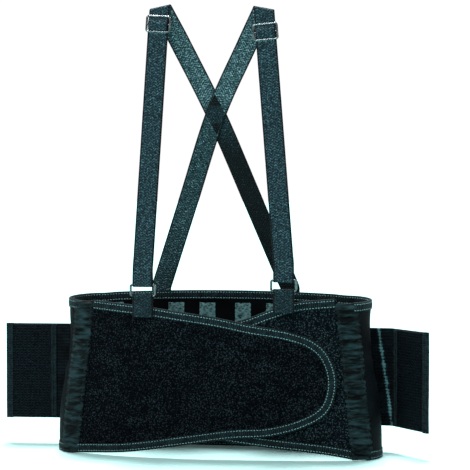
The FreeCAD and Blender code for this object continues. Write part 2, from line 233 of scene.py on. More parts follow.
def spline(points, count):
    """A smooth open curve through the points, evenly spaced along its length."""
    p = np.array(points, float)
    p = np.vstack([2 * p[0] - p[1], p, 2 * p[-1] - p[-2]])
    out = []
    for a, b, c, d in zip(p, p[1:], p[2:], p[3:]):
        t = np.linspace(0, 1, 24, endpoint=False)[:, None]
        curve = (2 * a - 5 * b + 4 * c - d) * t**2 + (3 * b - a - 3 * c + d) * t**3
        out.append(0.5 * (2 * b + (c - a) * t + curve))
    out = np.vstack(out + [p[-2:-1]])
    return evenly(out, count)


def evenly(line, count):
    along = lengths(line)
    at = np.linspace(0, along[-1], count)
    return np.stack([np.interp(at, along, line[:, k]) for k in range(line.shape[1])], axis=1)


def column(*span):
    return np.linspace(*span)[:, None]


def row(*span):
    return np.linspace(*span)[None]


def grid(*parts):
    """Coordinates stacked last, each spread over the whole grid."""
    return np.stack(np.broadcast_arrays(*parts), -1)


def lengths(line):
    return np.concatenate([[0], np.cumsum(np.linalg.norm(np.diff(line, axis=0), axis=1))])


# ---- the oval loop ---------------------------------------------------------------
WAIST_Z, WAIST_W = np.array(WAIST, float).T
WAIST_SLOPE = np.gradient(WAIST_W, WAIST_Z)


def half_width(z):
    z = np.clip(z, WAIST_Z[0], WAIST_Z[-1])
    i = np.clip(np.searchsorted(WAIST_Z, z) - 1, 0, len(WAIST_Z) - 2)
    h = WAIST_Z[i + 1] - WAIST_Z[i]
    t = (z - WAIST_Z[i]) / h
    rise = (t**3 - 2 * t**2 + t) * WAIST_SLOPE[i] + (t**3 - t**2) * WAIST_SLOPE[i + 1]
    return WAIST_W[i] + (3 * t**2 - 2 * t**3) * (WAIST_W[i + 1] - WAIST_W[i]) + rise * h


def arcs(z):
    """The front arc's radius, how far back its centre is, the side arc's centre and the corner's angle."""
    side = half_width(z) - SIDE_RADIUS
    depth = HALF_DEPTH - SIDE_RADIUS
    far = (side**2 - depth**2) / (2 * depth)
    return HALF_DEPTH + far, far, side, np.arctan2(side, far)


def girth(z):
    """Arc length from the middle of the front to the middle of the back."""
    big, _, _, corner = arcs(z)
    return 2 * big * corner + SIDE_RADIUS * (np.pi - 2 * corner)


def front_s(x, z):
    """Arc length from the middle of the front to x, on the front half."""
    big, _, side, corner = arcs(z)
    a = np.abs(x)
    flat = big * np.arcsin(np.clip(a / big, 0, 1))
    bend = big * corner + SIDE_RADIUS * (np.arcsin(np.clip((a - side) / SIDE_RADIUS, -1, 1)) - corner)
    return np.sign(x) * np.where(a <= big * np.sin(corner), flat, bend)


def back_s(x, z):
    sign = np.where(np.asarray(x) < 0, -1.0, 1.0)
    return sign * (girth(z) - np.abs(front_s(x, z)))


def loop(s, z, out):
    """Point and outward direction at arc length s, height z and distance out from the inner face."""
    s, z, out = np.broadcast_arrays(np.asarray(s, float), z, out)
    big, far, side, corner = arcs(z)
    a, sign = np.abs(s), np.where(s < 0, -1.0, 1.0)
    straight = big * corner
    bend = SIDE_RADIUS * (np.pi - 2 * corner)
    front, back = a <= straight, a >= straight + bend
    rear = np.pi - (girth(z) - a) / big
    turn = np.where(front, a / big, np.where(back, rear, corner + (a - straight) / SIDE_RADIUS))
    nx, ny = np.sin(turn), -np.cos(turn)
    cx = np.where(front | back, 0, side)
    cy = np.where(front, far, np.where(back, -far, 0))
    r = np.where(front | back, big, SIDE_RADIUS) + out
    normal = np.stack([sign * nx, ny, 0 * nx], -1)
    return np.stack([sign * (cx + r * nx), cy + r * ny, z], -1), normal


def skin(s, z, out):
    """The same point, where its outward direction isn't needed."""
    return loop(s, z, out)[0]


# ---- smooth value noise, for folds and slack --------------------------------------
def noise(u, v, seed):
    """Smooth noise from -1 to 1 on a unit lattice."""
    table = np.random.default_rng(seed).uniform(-1, 1, (64, 64))
    u, v = np.broadcast_arrays(np.asarray(u, float), v)
    i, j = np.floor(u).astype(int), np.floor(v).astype(int)
    a, b = smooth(u - i), smooth(v - j)
    at = lambda m, n: table[m % 64, n % 64]
    top = at(i, j) * (1 - a) + at(i + 1, j) * a
    low = at(i, j + 1) * (1 - a) + at(i + 1, j + 1) * a
    return top * (1 - b) + low * b


# ---- mesh builders -----------------------------------------------------------------
def make(name, points, faces, material, uv=None, face_slots=None):
    """An object from points in millimetres about the belt's own middle."""
    mesh = bpy.data.meshes.new(name)
    mesh.from_pydata(((np.asarray(points) + ORIGIN) * MM).tolist(), [], [list(map(int, f)) for f in faces])
    materials = material if isinstance(material, (list, tuple)) else [material]
    for m in materials:
        mesh.materials.append(m)
    if uv is not None:
        layer = mesh.uv_layers.new(name="cloth")
        index = np.zeros(len(mesh.loops), np.int32)
        mesh.loops.foreach_get("vertex_index", index)
        layer.data.foreach_set("uv", (np.asarray(uv)[index] * MM).astype(np.float32).ravel())
    if face_slots is not None:
        mesh.polygons.foreach_set("material_index", np.asarray(face_slots, np.int32))
    mesh.polygons.foreach_set("use_smooth", [True] * len(mesh.polygons))
    shell = bmesh.new()
    shell.from_mesh(mesh)
    bmesh.ops.recalc_face_normals(shell, faces=shell.faces)
    shell.to_mesh(mesh)
    shell.free()
    mesh.update()
    o = bpy.data.objects.new(name, mesh)
    bpy.context.scene.collection.objects.link(o)
    return o


def quads(rows, columns, start=0, wrap=False):
    i, j = np.meshgrid(np.arange(rows - 1), np.arange(columns if wrap else columns - 1), indexing="ij")
    k = (j + 1) % columns
    a, b, c, d = i * columns + j, i * columns + k, (i + 1) * columns + k, (i + 1) * columns + j
    return np.stack([a, b, c, d], -1).reshape(-1, 4) + start


def cloth(name, outer, inner, uv, material):
    """A closed sheet between two grids of points, with rounded edges. material may be (outside, inside)."""
    rows, columns = outer.shape[:2]
    count = rows * columns
    around = [(0, j) for j in range(columns)] + [(i, columns - 1) for i in range(1, rows)]
    around += [(rows - 1, j) for j in range(columns - 2, -1, -1)] + [(i, 0) for i in range(rows - 2, 0, -1)]
    edge, away = [], []
    for i, j in around:
        ii = 1 if i == 0 else (rows - 2 if i == rows - 1 else i)
        jj = 1 if j == 0 else (columns - 2 if j == columns - 1 else j)
        edge.append((outer[i, j] + inner[i, j]) / 2)
        away.append(outer[i, j] - outer[ii, jj])
    edge, away = np.array(edge), unit(np.array(away))
    thick = np.linalg.norm(outer[0, 0] - inner[0, 0])
    mid = edge + away * thick * 0.3
    points = np.vstack([outer.reshape(-1, 3), inner.reshape(-1, 3), mid])
    index = np.array([i * columns + j for i, j in around])
    follow = np.roll(index, -1)
    m = np.arange(len(index)) + 2 * count
    n = np.roll(m, -1)
    front = quads(rows, columns)
    behind = quads(rows, columns, count)[:, ::-1]
    outer_rim = np.stack([follow, index, m, n], -1)
    inner_rim = np.stack([n, m, index + count, follow + count], -1)
    rim = np.vstack([outer_rim, inner_rim])
    faces = np.vstack([front, behind, rim])
    flat = uv.reshape(-1, 2)
    coordinates = np.vstack([flat, flat, flat[index]])
    slots = np.concatenate([np.zeros(len(front)), np.ones(len(behind)), np.zeros(len(rim))])
    if not isinstance(material, (list, tuple)):
        slots[:] = 0
    return make(name, points, faces, material, coordinates, slots)


def sweep(name, centre, across, normal, profile, material):
    """A closed profile of (across, normal) points carried along a line, with capped ends."""
    profile = np.array(profile, float)
    if profile.ndim == 2:
        profile = np.broadcast_to(profile, (len(centre), *profile.shape))
    points = centre[:, None] + across[:, None] * profile[..., :1] + normal[:, None] * profile[..., 1:]
    rows, columns = points.shape[:2]
    along = lengths(centre)
    around = lengths(np.vstack([profile[0], profile[0][:1]]))[:-1]
    uv = grid(along[:, None], around[None])
    faces = [list(f) for f in quads(rows, columns, 0, True)]
    faces += [list(range(columns))[::-1], [(rows - 1) * columns + j for j in range(columns)]]
    return make(name, points.reshape(-1, 3), faces, material, uv.reshape(-1, 2))


def ellipsoid(rings=4, sides=6):
    """A small closed bead, one unit long each way."""
    points, faces = [(-0.5, 0, 0)], []
    for i in range(1, rings):
        a = math.pi * i / rings
        for j in range(sides):
            b = 2 * math.pi * j / sides
            wide = 0.5 * math.sin(a)
            points.append((-0.5 * math.cos(a), wide * math.cos(b), wide * math.sin(b)))
    points.append((0.5, 0, 0))
    last = len(points) - 1
    for j in range(sides):
        k = (j + 1) % sides
        faces.append((0, 1 + k, 1 + j))
        faces.append((last, last - sides + j, last - sides + k))
        for i in range(rings - 2):
            a = 1 + i * sides
            faces.append((a + j, a + k, a + sides + k))
            faces.append((a + j, a + sides + k, a + sides + j))
    return np.array(points), faces


BEAD, BEAD_FACES = ellipsoid()


class Thread:
    """Collects stitches, each a small bead of thread, into one piece."""

    def __init__(self):
        self.points, self.faces = [], []

    def stitch(self, at, along, normal, length=3.4, width=0.95, height=0.7):
        side = np.cross(normal, along)
        start = len(self.points) * len(BEAD)
        scaled = BEAD * (length, width, height)
        self.points.append(at + scaled @ np.array([along, side, normal]))
        self.faces += [tuple(i + start for i in f) for f in BEAD_FACES]

    def row(self, line, normal, pitch=4.6, length=3.4, zigzag=0.0, **size):
        """Stitches along a line of points, evenly spaced, in step or leaning alternately."""
        total = lengths(line)[-1]
        count = max(2, int(total / pitch))
        both = evenly(np.hstack([line, normal]), 2 * count + 1)
        for i in range(count):
            a, b, c = both[2 * i], both[2 * i + 1], both[2 * i + 2]
            along, up = unit(c[:3] - a[:3]), unit(b[3:])
            side = np.cross(up, along)
            lean = zigzag * (1 if i % 2 else -1)
            along = unit(along + side * lean)
            self.stitch(b[:3], along, unit(up - along * (up @ along)), length, **size)

    def piece(self, name, material):
        return make(name, np.vstack(self.points), self.faces, material)

    def sew(self, name, material, body, *nodes):
        put(self.piece(name, material), body, "thread", *nodes)


def put(piece, body, slot, *nodes):
    """Fix a piece to a body, name its slot, and give the CAD nodes that it stands in for."""
    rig.ride(piece, body)
    if nodes:
        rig.replaces(piece, *nodes)
    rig.slot(piece, slot)


# ---- materials -----------------------------------------------------------------------
TWO_PI = 2 * math.pi


def linear(r, g, b):
    """A colour given as 0-255 display values, as linear light."""
    light = [c / 255 / 12.92 if c < 10 else ((c / 255 + 0.055) / 1.055) ** 2.4 for c in (r, g, b)]
    return (*light, 1.0)


class Finish:
    """A material whose colour and bump come from patterns in the cloth's own coordinates, in metres."""

    def __init__(self, name, roughness, sheen=0.0, specular=0.35, metallic=0.0):
        self.material = bpy.data.materials.new(name)
        self.material.use_nodes = True
        self.tree = self.material.node_tree
        self.shader = self.tree.nodes["Principled BSDF"]
        self.shader.inputs["Roughness"].default_value = roughness
        self.shader.inputs["Specular IOR Level"].default_value = specular
        self.shader.inputs["Metallic"].default_value = metallic
        self.shader.inputs["Sheen Weight"].default_value = sheen
        self.shader.inputs["Sheen Roughness"].default_value = 0.45
        self.bumps = None

    def node(self, kind, **values):
        n = self.tree.nodes.new(kind)
        for key, value in values.items():
            if hasattr(n, key):
                setattr(n, key, value)
        return n

    def math(self, operation, a, b=0.0, c=0.0):
        n = self.node("ShaderNodeMath", operation=operation)
        for socket, value in zip(n.inputs, (a, b, c)):
            self.give(socket, value)
        return n.outputs[0]

    def give(self, socket, value):
        if isinstance(value, bpy.types.NodeSocket):
            self.tree.links.new(value, socket)
        else:
            socket.default_value = value

    def cloth(self):
        n = self.node("ShaderNodeUVMap", uv_map="cloth")
        split = self.node("ShaderNodeSeparateXYZ")
        self.tree.links.new(n.outputs[0], split.inputs[0])
        return split.outputs[0], split.outputs[1], n.outputs[0]

    def place(self):
        return self.node("ShaderNodeNewGeometry").outputs["Position"]

    def noise(self, at, scale, detail=2.0, rough=0.5):
        n = self.node("ShaderNodeTexNoise")
        self.give(n.inputs["Vector"], at)
        n.inputs["Scale"].default_value = scale
        n.inputs["Detail"].default_value = detail
        n.inputs["Roughness"].default_value = rough
        return n.outputs["Fac"]

    def cells(self, at, scale, feature="F1"):
        n = self.node("ShaderNodeTexVoronoi", feature=feature)
        self.give(n.inputs["Vector"], at)
        n.inputs["Scale"].default_value = scale
        return n.outputs["Distance"]

    def stretch(self, at, x, y, z=1.0):
        n = self.node("ShaderNodeVectorMath", operation="MULTIPLY")
        self.give(n.inputs[0], at)
        n.inputs[1].default_value = (x, y, z)
        return n.outputs[0]

    def ramp(self, value, stops):
        n = self.node("ShaderNodeValToRGB")
        self.give(n.inputs[0], value)
        ramp = n.color_ramp
        for i, (at, colour) in enumerate(stops):
            e = ramp.elements[i] if i < 2 else ramp.elements.new(at)
            e.position, e.color = at, colour
        return n.outputs[0]

    def paint(self, colour):
        self.give(self.shader.inputs["Base Color"], colour)

    def tint(self, value, *stops):
        """Colour the cloth by a value, from stops of (position, display colour)."""
        self.paint(self.ramp(value, [(at, linear(*colour)) for at, colour in stops]))

    def wave(self, at, pitch):
        return self.math("SINE", self.math("MULTIPLY", at, TWO_PI / pitch))

    def bump(self, height, distance, strength=1.0):
        n = self.node("ShaderNodeBump")
        n.inputs["Distance"].default_value = distance
        n.inputs["Strength"].default_value = strength
        self.give(n.inputs["Height"], height)
        if self.bumps is not None:
            self.give(n.inputs["Normal"], self.bumps)
        self.bumps = n.outputs[0]
        self.give(self.shader.inputs["Normal"], self.bumps)


def loop_fabric(name, dark, light, speck):
    """Brushed loop pile: pale loop tips scattered over slow changes in how the pile lies."""
    f = Finish(name, 0.95, sheen=0.01, specular=0.02)
    at = f.place()
    fine = f.noise(at, 640.0, 3.0, 0.7)
    patch = f.noise(f.stretch(at, 1.0, 1.0, 2.2), 24.0, 3.0, 0.6)
    tips = f.cells(at, 460.0)
    mixed = f.math("MULTIPLY_ADD", patch, 0.3, f.math("MULTIPLY_ADD", tips, -0.55, f.math("ADD", fine, 0.25)))
    f.tint(mixed, (0.5, dark), (0.71, light), (0.84, speck))
    f.bump(fine, 0.0010, 0.8)
    f.bump(patch, 0.0015, 0.3)
    return f.material


def stretch_fabric(name, dark, light, rough=0.62, specular=0.04, painted_fold_shading=False):
    """Smooth knitted stretch cloth with fine upright wales, and where asked painted shade and highlight in level fold
    streaks.
    """
    f = Finish(name, rough, specular=specular)
    u, v, _ = f.cloth()
    wale = f.wave(u, 0.0016)
    course = f.wave(v, 0.0019)
    knit = f.math("MULTIPLY", wale, course)
    slow = f.noise(f.place(), 30.0, 4.0, 0.6)
    # Painted shade and highlight: noise stretched into level streaks stands in for the dark creases and light bulges of
    # the folds, with the knit turned down.
    if painted_fold_shading:
        slow = f.noise(f.stretch(f.place(), 0.22, 0.22, 1.0), 190.0, 3.0, 0.6)
    tone = f.math("MULTIPLY_ADD", knit, 0.06 if painted_fold_shading else 0.14, slow)
    f.tint(tone, (0.42 if painted_fold_shading else 0.34, dark), (0.72, light))
    f.bump(knit, 0.0004, 0.45)
    return f.material


def elastic_fabric(name, dark, light, glint=(90, 130, 136), crease=False):
    """Woven elastic: close ribs that run along the band, crossed by fine picks, and with crease a painted highlight
    along the band's bend.
    """
    f = Finish(name, 0.78, sheen=0.02, specular=0.05)
    u, v, _ = f.cloth()
    rib = f.wave(v, 0.0042)
    pick = f.wave(u, 0.0024)
    weave = f.math("MULTIPLY_ADD", pick, 0.35, rib)
    slow = f.noise(f.place(), 60.0, 4.0, 0.65)
    tone = f.math("MULTIPLY_ADD", weave, 0.06, slow)
    # With crease set, a lighter speckled stripe is painted along the slanted line where the band bends: a painted
    # highlight.
    if crease:
        middle = f.math("MULTIPLY_ADD", v, -0.148, 0.2286)
        off = f.math("ABSOLUTE", f.math("SUBTRACT", u, middle))
        near = f.math("SUBTRACT", 1.0, f.math("MULTIPLY", off, 230.0))
        speck = f.noise(f.place(), 500.0, 2.0, 0.7)
        tone = f.math("MULTIPLY_ADD", f.math("MAXIMUM", near, 0.0), speck, tone)
    f.tint(tone, (0.36, dark), (0.72, light), (1.0, glint))
    f.bump(weave, 0.0007, 0.8)
    return f.material


def webbing_weave(name, dark, light, glint, painted_low_shade=0.0):
    """Flat webbing: a chevron twill of thick yarns with lighter glints, darker along its selvedges, and with painted
    shade lower down where asked.
    """
    f = Finish(name, 0.72, sheen=0.02, specular=0.08)
    u, v, _ = f.cloth()
    fold = f.math("PINGPONG", v, 0.0042)
    twill = f.wave(f.math("MULTIPLY_ADD", fold, 0.85, u), 0.0036)
    yarn = f.wave(v, 0.0021)
    fleck = f.noise(f.stretch(f.place(), 1.0, 1.0, 1.6), 380.0, 3.0, 0.75)
    edge = f.math("SMOOTH_MAX", f.math("SUBTRACT", f.math("ABSOLUTE", v), 0.0108), 0.0, 0.0004)
    tone = f.math("MULTIPLY_ADD", twill, 0.055, f.math("MULTIPLY_ADD", yarn, 0.04, fleck))
    tone = f.math("MULTIPLY_ADD", edge, -170.0, tone)
    # Painted shade: below 0.455 m the tone is pushed darker, the more so the lower, and a touch lighter above.
    if painted_low_shade:
        split = f.node("ShaderNodeSeparateXYZ")
        f.give(split.inputs[0], f.place())
        high = f.math("MULTIPLY", f.math("SUBTRACT", split.outputs[2], 0.455), 4.0)
        tone = f.math("ADD", tone, f.math("MINIMUM", f.math("MAXIMUM", high, -painted_low_shade), 0.01))
    f.tint(tone, (0.3, dark), (0.53, light), (0.74, glint))
    f.bump(f.math("MULTIPLY_ADD", yarn, 0.4, twill), 0.0007, 0.9)
    return f.material


def tape_weave(name, dark, light):
    """Edge tape: fine ribs across its width."""
    f = Finish(name, 0.75, sheen=0.02, specular=0.06)
    u = f.cloth()[0]
    rib = f.wave(u, 0.0026)
    slow = f.noise(f.place(), 200.0, 3.0, 0.6)
    f.tint(f.math("MULTIPLY_ADD", rib, 0.16, slow), (0.32, dark), (0.76, light))
    f.bump(rib, 0.0005, 0.7)
    return f.material


def mesh_weave(name, dark, light):
    """Open mesh: pale threads round dark holes."""
    f = Finish(name, 0.8, sheen=0.02, specular=0.06)
    both = f.cloth()[2]
    hole = f.cells(f.stretch(both, 0.7, 1.0), 340.0)
    slow = f.noise(f.place(), 140.0, 2.0)
    tone = f.math("MULTIPLY_ADD", hole, 0.9, f.math("MULTIPLY", slow, 0.6))
    f.tint(tone, (0.42, dark), (1.0, light))
    f.bump(hole, 0.0008, 0.8)
    return f.material


def hook_tape(name, dark, light):
    """Moulded hooks sewn down in upright rows: small dashes in columns."""
    f = Finish(name, 0.7, specular=0.03)
    u, v, _ = f.cloth()
    ranks = f.wave(u, 0.0052)
    dash = f.wave(v, 0.0036)
    tip = f.math("MULTIPLY", f.math("MAXIMUM", ranks, 0.0), dash)
    slow = f.noise(f.place(), 420.0, 3.0, 0.65)
    tone = f.math("MULTIPLY_ADD", tip, 0.3, slow)
    f.tint(tone, (0.4, dark), (0.82, light))
    f.bump(tip, 0.0007, 0.9)
    return f.material


def thread_finish(name, colour, shade):
    f = Finish(name, 0.6, sheen=0.03, specular=0.12)
    twist = f.noise(f.place(), 1400.0, 2.0)
    f.tint(twist, (0.3, shade), (0.7, colour))
    f.bump(twist, 0.0003, 0.5)
    return f.material


def nickel_finish(name):
    """Polished nickel plate with faint drawing lines and dull spots."""
    f = Finish(name, 0.16, specular=0.5, metallic=1.0)
    at = f.place()
    spots = f.noise(at, 160.0, 4.0, 0.6)
    lines = f.noise(f.stretch(at, 30.0, 1.0, 1.0), 260.0, 2.0)
    f.tint(spots, (0.3, (40, 46, 50)), (0.7, (118, 128, 130)))
    rough = f.math("MULTIPLY_ADD", spots, 0.22, 0.06)
    f.give(f.shader.inputs["Roughness"], rough)
    f.bump(lines, 0.0001, 0.2)
    return f.material


def stay_finish(name):
    f = Finish(name, 0.45, specular=0.4)
    grain = f.noise(f.stretch(f.place(), 1.0, 1.0, 0.1), 300.0, 2.0)
    f.tint(grain, (0.3, (196, 204, 204)), (0.7, (224, 230, 230)))
    f.bump(grain, 0.0002, 0.3)
    return f.material


def floor_finish(name):
    f = Finish(name, 0.8, specular=0.1)
    grain = f.noise(f.place(), 3.0, 2.0)
    f.paint(f.ramp(grain, [(0.0, (0.27, 0.45, 0.44, 1)), (1.0, (0.29, 0.47, 0.46, 1))]))
    return f.material


LOOP_TOP = loop_fabric("loop_fabric_upper", (1, 2, 4), (4, 7, 10), (30, 38, 43))
LOOP_UNDER = loop_fabric("loop_fabric_under", (2, 5, 8), (8, 14, 18), (42, 56, 60))
SPANDEX = stretch_fabric("spandex", (1, 2, 4), (6, 13, 17))
LINING = stretch_fabric("dark_lining", (1, 2, 3), (5, 9, 12), rough=0.9, specular=0.03)
# The gathers' cloth, with painted shade in its creases and painted highlight on its folds.
GATHER = stretch_fabric("gathered_cloth", (0, 2, 3), (30, 50, 54), specular=0.06, painted_fold_shading=True)
ELASTIC = elastic_fabric("band_elastic", (1, 3, 5), (13, 22, 28))
# The right band's elastic, with a painted highlight along its bend.
ELASTIC_BEND_HIGHLIGHT = elastic_fabric("band_elastic_bent", (1, 3, 5), (13, 22, 28), crease=True)
WEBBING = webbing_weave("webbing", (3, 8, 12), (20, 38, 46), (76, 112, 120))
WEBBING_TAB = webbing_weave("webbing_tab", (2, 6, 8), (14, 30, 36), (52, 84, 90))
WEBBING_BACK = {}
# A copy of the webbing for each shoulder strap's second face; the left strap's gets deeper painted shade towards the
# bottom.
for side, word in SIDES:
    painted_low_shade = 0.3 if side == LEFT else 0.05
    name = f"webbing_back_{word}"
    WEBBING_BACK[side] = webbing_weave(name, (4, 11, 14), (38, 64, 70), (136, 172, 176), painted_low_shade)
TAPE_DARK = tape_weave("edge_tape", (2, 6, 8), (20, 36, 41))
MESH = mesh_weave("pocket_mesh", (4, 9, 11), (74, 108, 110))
HOOKS = hook_tape("hook_tape", (1, 2, 4), (18, 28, 33))
THREAD = thread_finish("light_thread", (122, 158, 158), (56, 88, 92))
THREAD_DARK = thread_finish("dark_thread", (24, 42, 48), (9, 19, 23))
NICKEL = nickel_finish("nickel")
STAY = stay_finish("stay")


# ---- the belt ------------------------------------------------------------------------
RIM_CENTRE, RIM_CORNER = 208.0, 205.0
SIDE_TOP, SIDE_SLOPE = 201.5, 0.0579
POCKET_HALF, POCKET_LOW, POCKET_HIGH, POCKET_SEAM = 10.5, 13.0, 191.0, 9.6
PUCKER_PITCH = 7.4
SEAM_GAP = 0.5


def at(point):
    """A point about the belt's own middle, in metres in the frame."""
    return tuple((np.asarray(point, float) + ORIGIN) * MM)


def rim_height(x):
    return RIM_CENTRE - (x / BACK_CORNER) ** 2 * (RIM_CENTRE - RIM_CORNER)


def side_top(y):
    return SIDE_TOP + SIDE_SLOPE * y


def hinge_x(z):
    return HINGE_TOP + (HINGE_BOTTOM - HINGE_TOP) * (1 - z / BELT_HEIGHT)


def gather_x(z):
    return GATHER_TOP + (GATHER_BOTTOM - GATHER_TOP) * (1 - z / BELT_HEIGHT)


def edge_tape(name, centre, inward, normal, material, seed, width=BINDING, thick=FABRIC):
    """Tape folded over a cloth's edge, with a dip along each row of stitches."""
    h, t, w = thick / 2, TAPE, width
    side = [(w, h + 0.05), (w + 0.15, h + 0.5 * t), (w - 0.3, h + t), (w - 1.3, h + t + 0.05)]
    side += [(w - 2, h + t - 0.3), (w - 2.7, h + t + 0.05), (w - 5, h + t + 0.2), (3.6, h + t + 0.1)]
    side += [(2.7, h + t - 0.25), (1.9, h + t), (0.6, h + t - 0.1), (-0.45, h + 0.25), (-t, 0.4)]
    inside = [(w, -h - 0.05), (0.1, -h - 0.05), (0.1, h + 0.05)]
    profile = np.array(side + [(a, -n) for a, n in side[::-1]] + inside)
    run = lengths(centre)
    ripple = 1 + 0.05 * noise(run / 5.0, 0.5, seed) + 0.06 * noise(run / 23.0, 1.5, seed)
    shaped = np.repeat(profile[None], len(centre), 0)
    outside = np.abs(profile[:, 1]) > h + 0.1
    shaped[:, outside, 1] = profile[outside, 1] * ripple[:, None]
    return sweep(name, centre, inward, normal, shaped, material)


def tape_rows(thread, centre, inward, normal, sides=(1, -1), thick=FABRIC, width=BINDING, pitch=3.7):
    for side in sides:
        for inset in (1.9, width - 1.6):
            line = centre + inward * inset + normal * side * (thick / 2 + TAPE - 0.12)
            thread.row(line, normal * side, pitch, 2.8, zigzag=0.25, width=1.05)


def inward_of(centre, normal, sign):
    along = unit(np.gradient(centre, axis=0))
    return unit(np.cross(along, normal) * sign)


# Back panel: quilted a little between the rows that hold the stay pockets.
x = row(BACK_CORNER, -BACK_CORNER, 181)
t = column(0, 1, 61)
z = TAPE + t * (rim_height(x) - 2 * TAPE)
away = np.min([np.abs(np.abs(x - c) - POCKET_SEAM) for c in STAYS], axis=0)
quilt = 0.55 * smooth(away / 4) - 0.35 + 0.35 * noise(x / 30, z / 25, 3)
quilt = quilt * smooth(np.minimum(z - 8, rim_height(x) - 8 - z) / 12)
outer = skin(back_s(x, z), z, FABRIC + quilt)
inner = skin(back_s(x, z), z, 0.25 * noise(x / 24, z / 31, 4))
back_uv = grid(-x, z)
back_cloth = cloth("back_cloth", outer, inner, back_uv, (SPANDEX, LINING))
put(back_cloth, "root", "spandex", "back_panel")
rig.sheet(back_cloth, flat=(0.302, 0.207), held="stretched", rests_on=["back_stays"])

seams = Thread()
pocket_seams = Thread()
for number, middle in enumerate(STAYS):
    across = row(POCKET_HALF, -POCKET_HALF, 15)
    z = column(POCKET_LOW, POCKET_HIGH, 61)
    raised = smooth((9.0 - np.abs(across)) / 2.6) * smooth((z - 15) / 6) * smooth((189 - z) / 6)
    ripple = 0.15 * noise(z / 9, across / 9, 20 + number)
    s = back_s(middle + across, z)
    outer = skin(s, z, -0.1 - 1.8 * raised)
    inner = skin(s, z, -0.95 - 1.75 * raised + ripple * (1 - raised))
    pocket_uv = grid(across, z)
    pocket = cloth(f"stay_pocket_{number + 1}", outer, inner, pocket_uv, MESH)
    put(pocket, "root", "mesh_lining", "stay_pockets")
    z = np.linspace(14, 190, 60)
    for edge in (-POCKET_SEAM, POCKET_SEAM):
        line, normal = loop(back_s(middle + edge, z), z, FABRIC + 0.1)
        seams.row(line, normal, 5.2, 3.6)
        line, normal = loop(back_s(middle + edge, z), z, -1.0)
        pocket_seams.row(line, -normal, 5.2, 3.6, width=0.8, height=0.6)
    for level in (14.5, 189.5):
        line, normal = loop(back_s(middle + np.linspace(-9, 9, 12), level), level, -1.0)
        pocket_seams.row(line, -normal, 4.6, 3.4, width=0.8, height=0.6)
seams.sew("back_quilting", THREAD_DARK, "root")
pocket_seams.sew("pocket_stitches", THREAD, "root")
frame["nodes"]["back_stays"].data.materials.clear()
frame["nodes"]["back_stays"].data.materials.append(STAY)


def edge_line(top):
    """The belt's edge from the right gather round the back to the left one."""
    z = np.full(160, RIM_CORNER - 2 if top else 0.0)
    for _ in range(3 if top else 1):
        start = front_s(gather_x(z[0]) - 0.5, z[0])
        s = np.linspace(start, girth(z[-1]), 160)
        points = skin(s, z, FABRIC / 2)
        if top:
            behind = smooth((points[:, 1]) / 20) * smooth((165 - points[:, 0]) / 22)
            rim = rim_height(np.minimum(points[:, 0], BACK_CORNER))
            z = side_top(points[:, 1]) * (1 - behind) + rim * behind - TAPE
        else:
            z = np.full(160, TAPE)
    points, normal = loop(s, z, FABRIC / 2)
    mirror = np.array((-1, 1, 1))
    points = np.vstack([points, points[-2::-1] * mirror])
    return points, np.vstack([normal, normal[-2::-1] * mirror])


edge_stitches = Thread()
for text, top in (("top", True), ("bottom", False)):
    centre, normal = edge_line(top)
    inward = inward_of(centre, normal, 1 if top else -1)
    if (inward[:, 2].mean() > 0) == top:
        inward = -inward
    tape = edge_tape(f"belt_{text}_tape", centre, inward, normal, TAPE_DARK, 31 + top)
    put(tape, "root", "binding_tape", f"back_{text}_binding")
    if top:
        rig.replaces(tape, "left_side_binding", "right_side_binding")
    tape_rows(edge_stitches, centre, inward, normal)
edge_stitches.sew("belt_edge_stitches", THREAD, "root")

# Side panels, slack enough to fold a little at the waist.
for side, word in SIDES:
    t = column(0, 1, 61)
    u = row(0, 1, 91)
    z = np.repeat(TAPE + t * 200.0, 91, 1)
    for _ in range(3):
        start, stop = front_s(gather_x(z) - 1.5, z), back_s(BACK_CORNER - 1.0, z)
        s = start + u * (stop - start)
        points = skin(s, z, 0)
        z = TAPE + t * (side_top(points[..., 1]) - 2 * TAPE)
    calm = smooth(np.minimum(u, 1 - u) / 0.12) * smooth(np.minimum(t, 1 - t) / 0.1)
    waist = np.exp(-(((z - 125) / 50) ** 2))
    fold = 1.3 * noise(s / 46 + z / 60, z / 15, 41 + side) * waist + 0.5 * noise(s / 18, z / 24, 43 + side)
    slack = calm * fold
    outer = skin(side * s, z, FABRIC + slack)
    inner = skin(side * s, z, slack)
    if side == LEFT:
        outer, inner = outer[:, ::-1], inner[:, ::-1]
    panel_uv = grid(s, z)
    panel = cloth(f"{word}_side_cloth", outer, inner, panel_uv, (SPANDEX, LINING))
    put(panel, "root", "spandex", f"{word}_side_panel")
    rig.sheet(panel, flat=(0.115, 0.2), held="stretched", rests_on=["back_cloth"])


# ---- front panels -----------------------------------------------------------------------
LEFT_EDGE = [(-155, 199), (-120, 196), (-88, 193), (-45, 187), (5, 180), (50, 171), (95, 163.5), (128, 152)]
LEFT_EDGE += [(148, 132), (157, 99), (148, 64), (120, 44), (75, 31), (25, 27), (-40, 17), (-110, 6.5)]
LEFT_EDGE += [(-182, 1.6)]
RIGHT_TOP = [(-62, 158), (-20, 163), (37, 176), (76, 190), (108, 199.5), (155, 204)]
RIGHT_LOW = [(-62, 38), (-20, 30), (15, 23.5), (71, 16.5), (140, 9), (182, 1.6)]
LEFT_LINE = spline(LEFT_EDGE, 420)
TOP_LINE, LOW_LINE = spline(RIGHT_TOP, 200), spline(RIGHT_LOW, 200)
TIP = int(np.argmax(LEFT_LINE[:, 0]))


def lift(x):
    """How far out the left panel lies: down on the gather at its root, over the right panel further on."""
    return OVERLAP * smooth((x + 168) / 58)


def height_at(x, line):
    order = np.argsort(line[:, 0])
    return np.interp(x, line[order, 0], line[order, 1])


